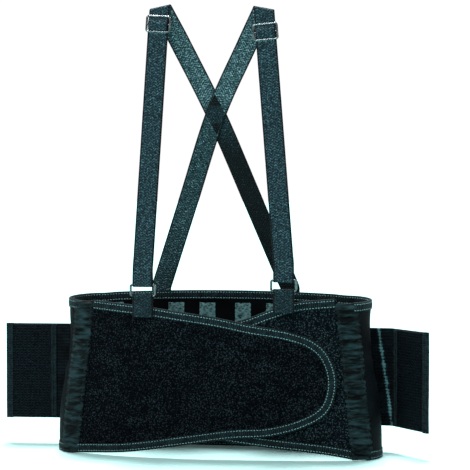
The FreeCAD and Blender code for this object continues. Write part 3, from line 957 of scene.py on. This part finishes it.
def front_panel(side, word, x_far, top, low, out, materials, seed):
    """A front panel between two edge lines. Its columns lean to follow the hinge line."""
    u = row(0, 1, 211)
    t = column(0, 1, 111)
    z = np.repeat(10 + t * 180, 211, 1)
    for _ in range(5):
        near = side * (hinge_x(z) - SEAM_GAP)
        x = near + (x_far - near) * u
        z = height_at(x, low) + t * (height_at(x, top) - height_at(x, low))
    loose = smooth(np.minimum(t, 1 - t) / 0.1) * smooth(u / 0.08)
    drape = loose * (0.5 * noise(x / 50, z / 38, seed) + 0.12 * noise(x / 9, z / 9, seed + 1))
    outer = skin(front_s(x, z), z, out(x) + FABRIC + drape)
    inner = skin(front_s(x, z), z, out(x) + 0 * z)
    if side == RIGHT:
        outer, inner, x, z = outer[:, ::-1], inner[:, ::-1], x[:, ::-1], z[:, ::-1]
    uv = grid(x, z)
    panel = cloth(f"{word}_panel_cloth", outer, inner, uv, materials)
    put(panel, f"{word}_flap", "loop_fabric", f"{word}_front_panel")
    return panel


left_top = LEFT_LINE[: TIP + 1] - (0, 0.6)
left_low = LEFT_LINE[TIP:] + (0, 0.6)
panel = front_panel(LEFT, "left", 151.0, left_top, left_low, lift, (LOOP_TOP, LINING), 51)
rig.sheet(panel, flat=(0.331, 0.196), area=0.0505, held="stretched", rests_on=["left_gather"])
panel = front_panel(RIGHT, "right", -61.0, TOP_LINE - (0, 0.6), LOW_LINE + (0, 0.6),
                    lambda x: 0 * x, (LOOP_UNDER, LINING), 55)
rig.sheet(panel, flat=(0.241, 0.201), area=0.0385, held="stretched", rests_on=["right_gather"])


def edge_on_panel(line, out):
    return loop(front_s(line[:, 0], line[:, 1]), line[:, 1], out(line[:, 0]) + FABRIC / 2)


flap_stitches = {LEFT: Thread(), RIGHT: Thread()}
line = LEFT_LINE[(LEFT_LINE[:, 0] > -hinge_x(LEFT_LINE[:, 1]) + 1.2)]
centre, normal = edge_on_panel(line, lift)
inward = inward_of(centre, normal, 1)
tape = edge_tape("left_panel_tape", centre, inward, normal, TAPE_DARK, 61)
put(tape, "left_flap", "binding_tape", "left_panel_binding")
tape_rows(flap_stitches[LEFT], centre, inward, normal)
for text, line, sign in (("top", TOP_LINE, 1), ("low", LOW_LINE, -1)):
    line = line[line[:, 0] < hinge_x(line[:, 1]) - 1.2]
    centre, normal = edge_on_panel(line, lambda x: 0 * x)
    inward = inward_of(centre, normal, sign)
    tape = edge_tape(f"right_panel_{text}_tape", centre, inward, normal, TAPE_DARK, 63 + sign)
    put(tape, "right_flap", "binding_tape", "right_panel_binding")
    tape_rows(flap_stitches[RIGHT], centre, inward, normal, sides=(1,))

x = row(78, 143, 27)
t = column(0, 1, 31)
top = np.interp(x, [78, 112, 137, 143], [146, 141, 124, 101])
low = np.interp(x, [78, 112, 137, 143], [64, 60, 76, 97])
z = low + t * (top - low)
outer = skin(front_s(x, z), z, OVERLAP - 0.05)
inner = skin(front_s(x, z), z, OVERLAP - 1.2)
patch = cloth("tongue_hooks", outer, inner, grid(x, z), HOOKS)
put(patch, "left_flap", "hook_tape", "tongue_hook_patch")

for side, word in SIDES:
    flap_stitches[side].sew(f"{word}_panel_stitches", THREAD, f"{word}_flap")

# Gathers: elastic sewn down along both edges, its cloth drawn up into small level folds.
for side, word in SIDES:
    t = column(0, 1, 301)
    u = row(-0.14, 1.12, 25)
    z = 1.2 + t * 197.0
    wide = gather_x(z) - hinge_x(z)
    x = side * (gather_x(z) - u * wide)
    inside = smooth(np.minimum(u + 0.14, 1.12 - u) / 0.3)
    wander = 2.6 * noise(z / 21, u * 1.6, 71 + side) + 1.2 * noise(z / 8, u * 3, 73 + side)
    phase = TWO_PI * z / PUCKER_PITCH + wander
    uneven = 0.75 + 0.45 * noise(z / 8, u * 2.2, 75 + side)
    pucker = (0.25 + 0.75 * inside) * uneven * np.sin(phase)
    middle = FABRIC + 0.3 + 0.6 * inside + 1.5 * pucker
    scallop = 0.8 * np.sin(phase[:, :1]) * (u < 0) - 0.8 * np.sin(phase[:, -1:]) * (u > 1)
    outer = skin(front_s(x, z) + side * scallop, z, middle + 0.45)
    inner = skin(front_s(x, z) + side * scallop, z, middle - 0.45)
    if side == LEFT:
        gather_uv = grid(-u * wide, z)
    else:
        outer, inner = outer[:, ::-1], inner[:, ::-1]
        gather_uv = grid(u * wide, z)[:, ::-1]
    under_in = skin(front_s(x, z), z, -0.4 + 0.5 * pucker)
    under_out = skin(front_s(x, z), z, 0.6 + 0.5 * pucker)
    start = at(loop(front_s(side * (gather_x(104.0) - 1), 104.0), 104.0, 1.0)[0])
    end = at(loop(front_s(side * (hinge_x(104.0) - 1), 104.0), 104.0, 1.0)[0])
    slant = (HINGE_BOTTOM - HINGE_TOP) / BELT_HEIGHT
    end = (end[0], end[1], start[2] - side * (end[0] - start[0]) * slant * -1)
    strip = cloth(f"{word}_gather", outer, inner, gather_uv, GATHER)
    lining = cloth(f"{word}_gather_lining", under_out, under_in, gather_uv, GATHER)
    sewn = Thread()
    for inset in (0.02, 0.98):
        z_line = np.linspace(4, 193, 190)
        line_x = side * (gather_x(z_line) - inset * (gather_x(z_line) - hinge_x(z_line)))
        line, normal = loop(front_s(line_x, z_line), z_line, FABRIC + 0.9)
        sewn.row(line, normal, 2.9, 3.2, zigzag=0.9, width=0.8, height=0.6)
    stitches = sewn.piece(f"{word}_gather_stitches", THREAD_DARK)
    for piece in (strip, lining, stitches):
        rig.blend(piece, "root", f"{word}_flap", start=start, end=end)
    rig.slot(strip, "elastic")
    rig.slot(lining, "elastic")
    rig.slot(stitches, "thread")
    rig.replaces(strip, f"{word}_gather_strip")
    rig.sheet(strip, flat=(0.026, 0.235), held="gathered", rests_on=[f"{word}_side_cloth"])
    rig.sheet(lining, flat=(0.026, 0.215), held="gathered", rests_on=[f"{word}_side_cloth"])

# ---- tension bands --------------------------------------------------------------------
WING_REACH, MIDDLE_REACH, BAND_START = 222.0, 211.0, (148.0, 45.6)
BAND_MIDDLE = (BAND_LOW + BAND_HIGH) / 2
BAND_ROWS, BAND_SWAY, BAND_SEED = 41, 0.5, 81


def band_plan(side):
    """A band seen from above: its straight part, then its bent end with the distance past the bend."""
    lean = math.radians(BAND_BEND[LEFT])
    xs = np.linspace(0.3, MIDDLE_REACH, 151)
    straight = BAND_START[1] - math.tan(lean) * (xs - BAND_START[0])
    steps = np.linspace(0, 76.0 + WING_REACH - MIDDLE_REACH, 125)
    bend = math.radians(BAND_BEND[side]) - lean
    turn = lean + bend * smooth((steps - (WING_REACH - MIDDLE_REACH) + 3.2) / 6.4)
    dx = np.concatenate([[0], np.cumsum(np.cos(turn[:-1]) * np.diff(steps))])
    dy = np.concatenate([[0], np.cumsum(-np.sin(turn[:-1]) * np.diff(steps))])
    outer = np.stack([MIDDLE_REACH + dx, straight[-1] + dy], 1)
    return xs, straight, outer, steps - (WING_REACH - MIDDLE_REACH), turn


def band_layer(side, past, turn, plan, near, far, low, high):
    """Front and behind faces of a strip of the band's end, near and far being distances to the front."""
    z = column(low, high, BAND_ROWS)
    forward = np.stack([-np.sin(turn), -np.cos(turn)], 1)
    sway = BAND_SWAY * noise(past[None] / 22, z / 30, BAND_SEED) * smooth((past[None] - 4) / 12)
    faces = []
    for out in (far, near):
        x = plan[None, :, 0] + forward[None, :, 0] * (out + sway)
        y = plan[None, :, 1] + forward[None, :, 1] * (out + sway)
        faces.append(grid(side * x, y, z + 0 * x))
    return faces


for side, word in SIDES:
    xs, straight, plan, past, turn = band_plan(side)
    half = BAND_THICK / 2
    z = column(BAND_LOW, BAND_HIGH, 61)
    u = xs[None]
    free = smooth((u - 134) / 22)
    faces = []
    for out in (half, -half):
        curved = skin(back_s(u + 0 * z, z), z, 3.5 + half - out)
        lean = math.radians(BAND_BEND[LEFT])
        flat_x = u - math.sin(lean) * out
        flat_y = np.interp(u, xs, straight) - math.cos(lean) * out
        x = curved[..., 0] * (1 - free) + (flat_x + 0 * z) * free
        y = curved[..., 1] * (1 - free) + (flat_y + 0 * z) * free
        faces.append(np.stack([side * x, y, z + 0 * x], -1))
    band_uv = grid(u, z)
    elastic = ELASTIC_BEND_HIGHLIGHT if side == RIGHT else ELASTIC
    run = cloth(f"{word}_band_run", faces[0], faces[1], band_uv, elastic)
    y = float(np.interp(200.0, xs, straight))
    start, end = at((side * 195, y, BAND_MIDDLE)), at((side * 205, y, BAND_MIDDLE))
    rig.blend(run, "root", f"{word}_band", start=start, end=end)
    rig.replaces(run, f"{word}_band_back_run")
    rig.slot(run, "elastic")
    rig.sheet(run, flat=(0.211, 0.127), held="stretched", rests_on=["back_cloth"])

    hinge = np.array([WING_REACH, float(np.interp(0, past, plan[:, 1])), BAND_MIDDLE])
    start = at((side * (hinge[0] - 4.5), hinge[1], BAND_MIDDLE))
    end = at((side * (hinge[0] + 4.5), hinge[1], BAND_MIDDLE))
    keep = past <= 75.4
    front, behind = band_layer(side, past[keep], turn[keep], plan[keep], -half, half, BAND_LOW, BAND_HIGH)
    uv_of = lambda chosen, low, high: grid(past[chosen][None] + WING_REACH,
                                           column(low, high, BAND_ROWS))
    end_piece = cloth(f"{word}_band_wing", front, behind, uv_of(keep, BAND_LOW, BAND_HIGH), elastic)
    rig.blend(end_piece, f"{word}_band", f"{word}_band_end", start=start, end=end)
    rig.replaces(end_piece, f"{word}_band_inner_wing", f"{word}_band_outer_wing")
    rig.slot(end_piece, "elastic")
    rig.sheet(end_piece, flat=(0.087, 0.127), held="stretched", rests_on=[f"{word}_band_run"])

    keep = (past >= 13.0) & (past <= 75.0)
    front, behind = band_layer(side, past[keep], turn[keep], plan[keep], half + 0.05, half + 1.4, 35, 160)
    hooks = cloth(f"{word}_band_hooks", front, behind, uv_of(keep, 35, 160), HOOKS)
    keep = (past >= 7.0) & (past <= 14.4)
    front, behind = band_layer(side, past[keep], turn[keep], plan[keep], half + 1.2, half + 1.75, 34.6, 160.4)
    seam = cloth(f"{word}_band_seam", front, behind, uv_of(keep, 35, 160), TAPE_DARK)
    put(hooks, f"{word}_band_end", "hook_tape", f"{word}_band_hook_patch")
    put(seam, f"{word}_band_end", "binding_tape", f"{word}_band_seam_tape")

    z = np.linspace(BAND_LOW - 0.6, BAND_HIGH + 0.6, 90)
    forward = np.array([-math.sin(turn[-1]), -math.cos(turn[-1]), 0])
    outward = np.array([math.cos(turn[-1]), -math.sin(turn[-1]), 0])
    tip = np.array([*plan[-1], 0])
    sway = BAND_SWAY * noise(75 / 22, z / 30, BAND_SEED)
    centre = tip + outward * -0.8 + forward * (0.7 + sway[:, None])
    centre[:, 2] = z
    mirror = np.array((side, 1, 1))
    tape = edge_tape(f"{word}_band_end_tape", centre * mirror, np.tile(-outward * mirror, (90, 1)),
                     np.tile(forward * mirror, (90, 1)), TAPE_DARK, 83, width=8.6, thick=3.0)
    put(tape, f"{word}_band_end", "binding_tape", f"{word}_band_end_binding")
    sewn = Thread()
    up = np.tile(forward * mirror, (90, 1))
    tape_rows(sewn, centre * mirror, np.tile(-outward * mirror, (90, 1)), up, (1, -1), 3.0, 8.6, 4.4)
    for d in (8.4, 12.9):
        p = np.array([np.interp(d, past, plan[:, 0]), np.interp(d, past, plan[:, 1]), 0])
        line = p + forward * (half + 1.75 + 0.05) + 0 * up
        line[:, 2] = np.linspace(36, 159, 90)
        sewn.row(line * mirror, up, 4.2, 3.2)
    sewn.sew(f"{word}_band_stitches", THREAD_DARK, f"{word}_band_end")

x = row(18, -18, 31)
z = column(34.5, 160.5, 81)
raised = smooth((18 - np.abs(x)) / 3) * smooth((z - 34) / 3) * smooth((161 - z) / 3)
outer = skin(back_s(x, z), z, 5.2 + 0.5 + 0.5 * raised + 0.1 * noise(x / 8, z / 11, 91))
inner = skin(back_s(x, z), z, 5.15 + 0 * raised)
cover = cloth("band_centre_patch", outer, inner, grid(-x, z), WEBBING)
put(cover, "root", "elastic", "band_anchor_patch")
boxes = Thread()
for line_x, line_z in (((-15, -15), (38, 157)), ((15, 15), (38, 157)), ((-15, 15), (38, 38)),
                       ((-15, 15), (157, 157)), ((-15, 15), (97, 97)), ((-15, 15), (38, 97)),
                       ((15, -15), (38, 97)),
                       ((-15, 15), (97, 157)), ((15, -15), (97, 157))):
    lx, lz = np.linspace(*line_x, 60), np.linspace(*line_z, 60)
    line, normal = loop(back_s(lx, lz), lz, 6.2)
    boxes.row(line, normal, 4.4, 3.3)
boxes.sew("band_centre_stitches", THREAD, "root")


# ---- straps -----------------------------------------------------------------------------
def frame_along(direction):
    """across, behind and along for a strap that runs this way, level across."""
    along = unit(np.array(direction, float))
    behind = unit(np.array((0.0, abs(along[2]), -math.copysign(along[1], along[2]))))
    return np.cross(behind, along), behind, along


def ring_centre(side):
    z = TAB_BOTTOM[side] + TAB_HEIGHT
    low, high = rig.box(f"{'left' if side == LEFT else 'right'}_ring")
    return np.array(((low.x + high.x) / 2, (low.y + high.y) / 2, z * MM)) / MM - ORIGIN * (1, 1, 1)


def strip(name, mid, along_at, across_at, thick, material, seed, bow=0.25):
    """Webbing from a grid of middle points, rows along it and columns across it."""
    du, dv = np.gradient(mid, axis=0), np.gradient(mid, axis=1)
    normal = unit(np.cross(dv, du))
    u, v = along_at[:, None], across_at[None]
    edge = np.abs(across_at[None]) / (WEB / 2)
    half = thick / 2 * (1 - 0.12 * smooth((edge - 0.82) / 0.18))
    shift = bow * noise(u / 34, 0 * v, seed) * (1 - edge**2) + 0.1 * noise(u / 7, v / 7, seed + 1)
    outer = mid + normal * (half + shift)[..., None]
    inner = mid - normal * (half - shift)[..., None]
    uv = grid(u, v)
    return cloth(name, outer, inner, uv, material)


ACROSS = np.linspace(-WEB / 2, WEB / 2, 15)
CROSS_STEP = {LEFT: 2.3, RIGHT: 0.0}
FOLD_RADIUS = 2.65
for side, word in SIDES:
    base = ring_centre(side)
    upper = base + np.array((0, 0, RING_UPPER))
    low = base + np.array((0, 0, RING_UPPER + LOOP_TAIL + LEG_GAP))
    top = np.array(APEX[side])
    across, behind, along = frame_along(top - low)
    length = float(np.linalg.norm(top - low))
    slide_at = (SLIDER_Z[side] - low[2]) / along[2]

    def on_leg(distance, layer):
        """Middle of the strap this far up from the leg's lower end, layer 1 behind and -1 in front."""
        return low + along * distance + behind * layer * (WEB_THICK / 2 + 0.08)

    # The end that goes round the ring's upper wire: up behind it, over, and down in front.
    split = -LEG_GAP - LOOP_TAIL
    rise = np.linspace(16.0, split + 2.4, 26)

    def off_leg(distance, layer):
        near = smooth((14.0 - distance) / 20)
        out = 0.85 + 1.4 * smooth((2 - distance) / 16)
        goal = upper + np.array((0, layer * out, distance - split))
        return on_leg(distance, layer) * (1 - near) + goal * near

    path = [off_leg(d, 1) for d in rise]
    wire = np.linspace(0.35, math.pi - 0.35, 15)
    path += [upper + 2.3 * np.array((0, math.cos(a), -math.sin(a))) for a in wire]
    path += [off_leg(d, -1) for d in rise[::-1]]
    path = evenly(np.array(path), 90)
    level = smooth((path[:, 2] - upper[2]) / 30)[:, None]
    sideways = unit(np.array((1.0, 0, 0)) * (1 - level) + across * level)
    mid = path[:, None] + sideways[:, None] * ACROSS[None, :, None]
    end_loop = strip(f"{word}_strap_end", mid, lengths(path), ACROSS, WEB_THICK - 0.1, WEBBING, 101, 0.1)
    start, end = at(upper + (0, 0, 8)), at(upper + (0, 0, 30))
    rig.blend(end_loop, f"{word}_ring", f"{word}_flap", start=start, end=end)
    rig.replaces(end_loop, f"{word}_ring_loop")
    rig.slot(end_loop, "webbing")

    # Both layers of the lower leg, which bend with the front panel as it opens.
    joint_at, root_at = 15.8, slide_at - SLIDER_HEIGHT / 2 - TRAVEL - 4.2
    for layer, text in ((1, "behind"), (-1, "front")):
        d = np.linspace(joint_at, root_at, 60)
        path = np.array([on_leg(v, layer) for v in d])
        mid = path[:, None] + across * ACROSS[None, :, None]
        piece = strip(f"{word}_leg_{text}", mid, d + 40, ACROSS, WEB_THICK - 0.1, WEBBING, 103 + layer, 0.1)
        start, end = at(on_leg(joint_at + 2, 0)), at(on_leg(root_at - 2, 0))
        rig.blend(piece, f"{word}_flap", "root", start=start, end=end)
        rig.replaces(piece, f"{word}_front_leg" if layer == 1 else f"{word}_return_layer")
        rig.slot(piece, "webbing")

    # The doubled layer above it, up to the slider.
    d = np.linspace(root_at, slide_at - 5.0, 60)
    path = np.array([on_leg(v, -1) for v in d])
    mid = path[:, None] + across * ACROSS[None, :, None]
    piece = strip(f"{word}_return_high", mid, d + 40, ACROSS, WEB_THICK - 0.1, WEBBING, 107, 0.0)
    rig.squash(piece, f"{word}_slider_travel", axis=tuple(along), anchor=at(on_leg(root_at, -1)), keep=0.01)
    put(piece, "root", "webbing", f"{word}_return_layer")

    # One strip from the leg over the slanted fold and down the back to its anchor.
    cross = CROSSING + (0, CROSS_STEP[side], 0)
    fold = low + along * (length - 2.4) + behind * (WEB_THICK / 2 + 0.08)
    anchor_x = -side * 87.0
    rim_y = skin(back_s(anchor_x, RIM_CORNER), RIM_CORNER, FABRIC + TAPE)[1] + WEB_THICK / 2 + 0.3
    foot = np.array((anchor_x, rim_y, RIM_CENTRE + 5))
    target = cross - fold
    away = unit(target)
    crease = unit(np.cross(behind, along - away))
    if crease[0] < 0:
        crease = -crease
    rise_way = np.cross(crease, behind)
    if rise_way[2] < 0:
        rise_way = -rise_way
    slip = float(along @ crease)
    lift_way = float(along @ rise_way)
    opening = math.atan2(float(away @ behind), -float(away @ rise_way))
    arc = (math.pi - opening) * FOLD_RADIUS

    def folded(l, a):
        """Middle surface at l past the fold's middle line and a across."""
        q = l * lift_way - a * slip * np.sign(crease @ across)
        p = l * slip + a * lift_way * np.sign(crease @ across)
        turn = np.clip(q, 0, arc) / FOLD_RADIUS
        rest = np.maximum(q - arc, 0)
        along_n = np.minimum(q, 0) + FOLD_RADIUS * np.sin(turn) + rest * math.cos(math.pi - opening)
        along_b = FOLD_RADIUS * (1 - np.cos(turn)) + rest * math.sin(math.pi - opening)
        return fold + crease * p[..., None] + rise_way * along_n[..., None] + behind * along_b[..., None]

    up = np.linspace(root_at - (length - 2.4), -7.0, 90)
    near = np.linspace(-6.8, 16.0, 90)
    l = np.concatenate([up, near])
    mid = folded(l[:, None] + 0 * ACROSS[None], ACROSS[None] + 0 * l[:, None])
    centre_now, edge_now = mid[-1, 7], mid[-1]
    across_now = unit(edge_now[-1] - edge_now[0])
    going = unit(mid[-1, 7] - mid[-3, 7])
    runs = []
    across_upper = frame_along(cross - centre_now)[0]
    across_lower = frame_along(foot - cross)[0]
    across_foot = np.array((math.cos(math.asin(anchor_x / 950.0)), -anchor_x / 950.0, 0.0))
    for goal in (across_upper, across_lower, across_foot):
        if goal @ across_now < 0:
            goal *= -1
        runs.append(goal)
    way = [centre_now, centre_now + going * 45, cross, (cross + foot) / 2 + (0, 0.6, 0), foot - (0, 0, 1)]
    path = spline(way, 160)[1:]
    tail = foot + np.array((0, 0, -1.0)) * column(2, 35, 30)
    path = np.vstack([path, tail])
    run = lengths(path)
    to_cross = run[int(np.argmin(np.linalg.norm(path - cross, axis=1)))]
    to_foot = run[len(path) - 31]
    first, second = smooth(run / (to_cross * 0.8))[:, None], smooth((run - to_cross * 0.85) / 40)[:, None]
    last = smooth((run - to_foot + 26) / 34)[:, None]
    turned = across_now * (1 - first) + runs[0] * first
    turned = turned * (1 - second) + runs[1] * second
    turned = unit(turned * (1 - last) + runs[2] * last)
    forward = unit(np.gradient(path, axis=0))
    turned = unit(turned - forward * np.sum(turned * forward, 1, keepdims=True))
    back_mid = path[:, None] + turned[:, None] * ACROSS[None, :, None]
    mid = np.vstack([mid, back_mid])
    at_l = np.concatenate([l - l[0], l[-1] - l[0] + run])
    both_faces = (WEBBING, WEBBING_BACK[side])
    strap = strip(f"{word}_shoulder_strap", mid, at_l, ACROSS, WEB_THICK, both_faces, 111 + side, 0.15)
    other = "right" if side == LEFT else "left"
    put(strap, "root", "webbing", f"{word}_front_leg", f"{word}_apex_fold", f"{word}_back_strap",
        f"{other}_back_anchor")

    # Rows that fasten the strap to the back.
    sewn = Thread()
    normal = unit(np.cross(turned[-1], forward[-1]))
    if normal[1] < 0:
        normal = -normal
    for z0, z1, x0, x1 in ((-9, -31, -10, -10), (-9, -31, 10, 10), (-9, -9, -10, 10), (-31, -31, -10, 10),
                           (-9, -31, -10, 10), (-9, -31, 10, -10)):
        p = foot + turned[-1] * column(x0, x1, 40)
        p = p + np.array((0, 0, 1.0)) * column(z0, z1, 40)
        sewn.row(p + normal * (WEB_THICK / 2 + 0.1), np.tile(normal, (40, 1)), 3.6, 2.9)
    sewn.sew(f"{other}_anchor_stitches", THREAD, "root")

    # The tab that holds the ring: one strip of webbing round the lower wire, sewn to the panel.
    path = [base + np.array((0, 0.85, z)) for z in np.linspace(-TAB_HEIGHT, -3.0, 24)]
    wire = np.linspace(-0.3, math.pi + 0.3, 17)
    path += [base + 2.35 * np.array((0, math.cos(a), math.sin(a))) for a in wire]
    path += [base + np.array((0, -0.8, z)) for z in np.linspace(-3.0, -TAB_HEIGHT + 0.3, 24)]
    path = np.array(path)
    path[:, 2] = np.maximum(path[:, 2], base[2] - TAB_HEIGHT)
    path = evenly(path, 100)
    wide = np.linspace(-(WEB + 0.6) / 2, (WEB + 0.6) / 2, 15)
    bend = 0.4 * (wide / 13.0) ** 2
    mid = path[:, None] + np.stack([wide, bend, 0 * wide], -1)[None]
    tab = strip(f"{word}_tab", mid, lengths(path), wide, WEB_THICK - 0.1, WEBBING_TAB, 121 + side, 0.1)
    put(tab, f"{word}_flap", "webbing", f"{word}_ring_tab")
    sewn = Thread()
    for x0, z0, x1, z1 in ((-10.6, -7, 10.6, -7), (-10.6, -24.6, 10.6, -24.6), (-10.6, -7, -10.6, -24.6),
                           (10.6, -7, 10.6, -24.6), (-10, -7.6, 10, -24), (10, -7.6, -10, -24)):
        steps = np.linspace(0, 1, 40)
        px, pz = x0 + (x1 - x0) * steps, z0 + (z1 - z0) * steps
        line = base + np.stack([px, -1.65 + 0.4 * (px / 13) ** 2, pz], 1)
        sewn.row(line, np.tile((0.0, -1.0, 0.0), (40, 1)), 3.2, 2.7, width=0.8, height=0.6)
    sewn.sew(f"{word}_tab_stitches", THREAD_DARK, f"{word}_flap")

    # Webbing that comes up under the slider's lower bar, over its middle bar and back down.
    centre = low + along * slide_at
    wrap = [(-13.0, -0.95), (-9.6, -1.0), (-7.6, -1.3), (-5.6, -2.6), (-3.2, -4.1), (0, -4.75), (3.2, -4.1)]
    wrap += [(5.6, -2.6), (7.6, -1.25), (9.2, -0.9)]
    line = spline(wrap, 70)
    path = centre + along * line[:, :1] + behind * line[:, 1:]
    wide = np.linspace(-12.2, 12.2, 15)
    mid = path[:, None] + across * wide[None, :, None]
    piece = strip(f"{word}_slider_wrap", mid, lengths(path), wide, 1.1, WEBBING, 131 + side, 0.0)
    put(piece, f"{word}_slider", "webbing", f"{word}_slider_webbing")
    sewn = Thread()
    line = centre - along * 11.6 + across * column(-11, 11, 30) - behind * 1.6
    sewn.row(line, np.tile(-behind, (30, 1)), 3.0, 2.5, width=0.7, height=0.5)
    sewn.sew(f"{word}_slider_stitches", THREAD, f"{word}_slider")

for node, o in frame["nodes"].items():
    if node.endswith(("_ring", "_slider_frame", "_slider_bar")):
        o.data.materials.clear()
        o.data.materials.append(NICKEL)

# The box of stitches where the two straps cross.
across, behind, along = frame_along((0, 0.26, -1))
across, along = np.abs(across[0]) * np.array((1.0, 0, 0)), unit(np.array((0, -0.26, 1.0)))
normal = np.cross(across, along)
normal = normal if normal[1] < 0 else -normal
sewn = Thread()
corners = [(0, 25), (12.6, 0), (0, -25), (-12.6, 0)]
for side_of in (-1, 1):
    for (x0, z0), (x1, z1) in zip(corners, corners[1:] + corners[:1]):
        for inset in (0.86, 0.72):
            steps = column(0.04, 0.96, 40)
            p = np.array((x0, z0)) * inset * (1 - steps) + np.array((x1, z1)) * inset * steps
            line = CROSSING + across * p[:, :1] + along * p[:, 1:]
            line = line + normal * (1.4 if side_of < 0 else -3.45)
            sewn.row(line, np.tile(normal * -side_of, (40, 1)), 3.4, 2.8, width=0.8)
t = column(-1, 1, 61)
v = row(-1, 1, 17)
reach = 12.4 * (1 - np.abs(t)) + 0.3
patch_x, patch_z = reach * v, 25.5 * t + 0 * v
face = CROSSING + across * patch_x[..., None] + along * patch_z[..., None]
patch_uv = np.stack([patch_x, patch_z], -1)
patch = cloth("crossing_patch", face + normal * 1.25, face + normal * 0.8, patch_uv, WEBBING_TAB)
put(patch, "root", "webbing")
piece = sewn.piece("crossing_sewing", THREAD_DARK)
put(piece, "root", "thread", "crossing_stitches")

# ---- floor, light and camera ---------------------------------------------------------------
mesh = bpy.data.meshes.new("floor")
mesh.from_pydata([(-40, -40, 0), (40, -40, 0), (40, 40, 0), (-40, 40, 0)], [], [(0, 1, 2, 3)])
floor = bpy.data.objects.new("floor", mesh)
bpy.context.scene.collection.objects.link(floor)
mesh.materials.append(floor_finish("floor"))
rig.stage(floor)

world = bpy.data.worlds.new("studio")
bpy.context.scene.world = world
world.use_nodes = True
world.node_tree.nodes["Background"].inputs["Color"].default_value = (1.0, 1.0, 1.0, 1.0)
world.node_tree.nodes["Background"].inputs["Strength"].default_value = 1.02


def area_light(name, place, aim, size, power):
    data = bpy.data.lights.new(name, "AREA")
    data.shape = "RECTANGLE"
    data.size, data.size_y = size
    data.energy = power
    light = bpy.data.objects.new(name, data)
    light.location = place
    light.rotation_euler = (Vector(aim) - Vector(place)).to_track_quat("-Z", "Y").to_euler()
    bpy.context.scene.collection.objects.link(light)


area_light("key", (-1.6, -2.0, 2.2), (0, 0, 0.3), (1.0, 0.7), 45)
area_light("glint", (-0.2, -1.3, 1.7), (0, 0, 0.5), (0.3, 0.2), 14)
area_light("rim", (1.4, 1.6, 1.8), (0, 0, 0.35), (1.0, 0.8), 25)
sun_data = bpy.data.lights.new("sky", "SUN")
sun_data.energy = 9.0
sun_data.angle = math.radians(18)
sun = bpy.data.objects.new("sky", sun_data)
sun.rotation_euler = (math.radians(-14), math.radians(-3), 0)
bpy.context.scene.collection.objects.link(sun)

DISTANCE, YAW, EYE_HEIGHT, AIM, LENS = 2000.0, math.radians(10), 342.0, (21, 4, 283), 118.0
camera_data = bpy.data.cameras.new("camera")
camera_data.lens = LENS
camera_data.sensor_width = 36.0
camera = bpy.data.objects.new("camera", camera_data)
bpy.context.scene.collection.objects.link(camera)
eye = Vector(at((DISTANCE * math.sin(YAW), -DISTANCE * math.cos(YAW), EYE_HEIGHT)))
target = Vector(at(AIM))
camera.location = eye
camera.rotation_euler = (target - eye).to_track_quat("-Z", "Y").to_euler()
bpy.context.scene.camera = camera
bpy.context.scene.view_settings.view_transform = "Standard"

boxes = {"cad": [list(v) for v in cad_box], "visual": [list(v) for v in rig.bounds()]}
with open("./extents.json", "w") as out:
    json.dump(boxes, out)
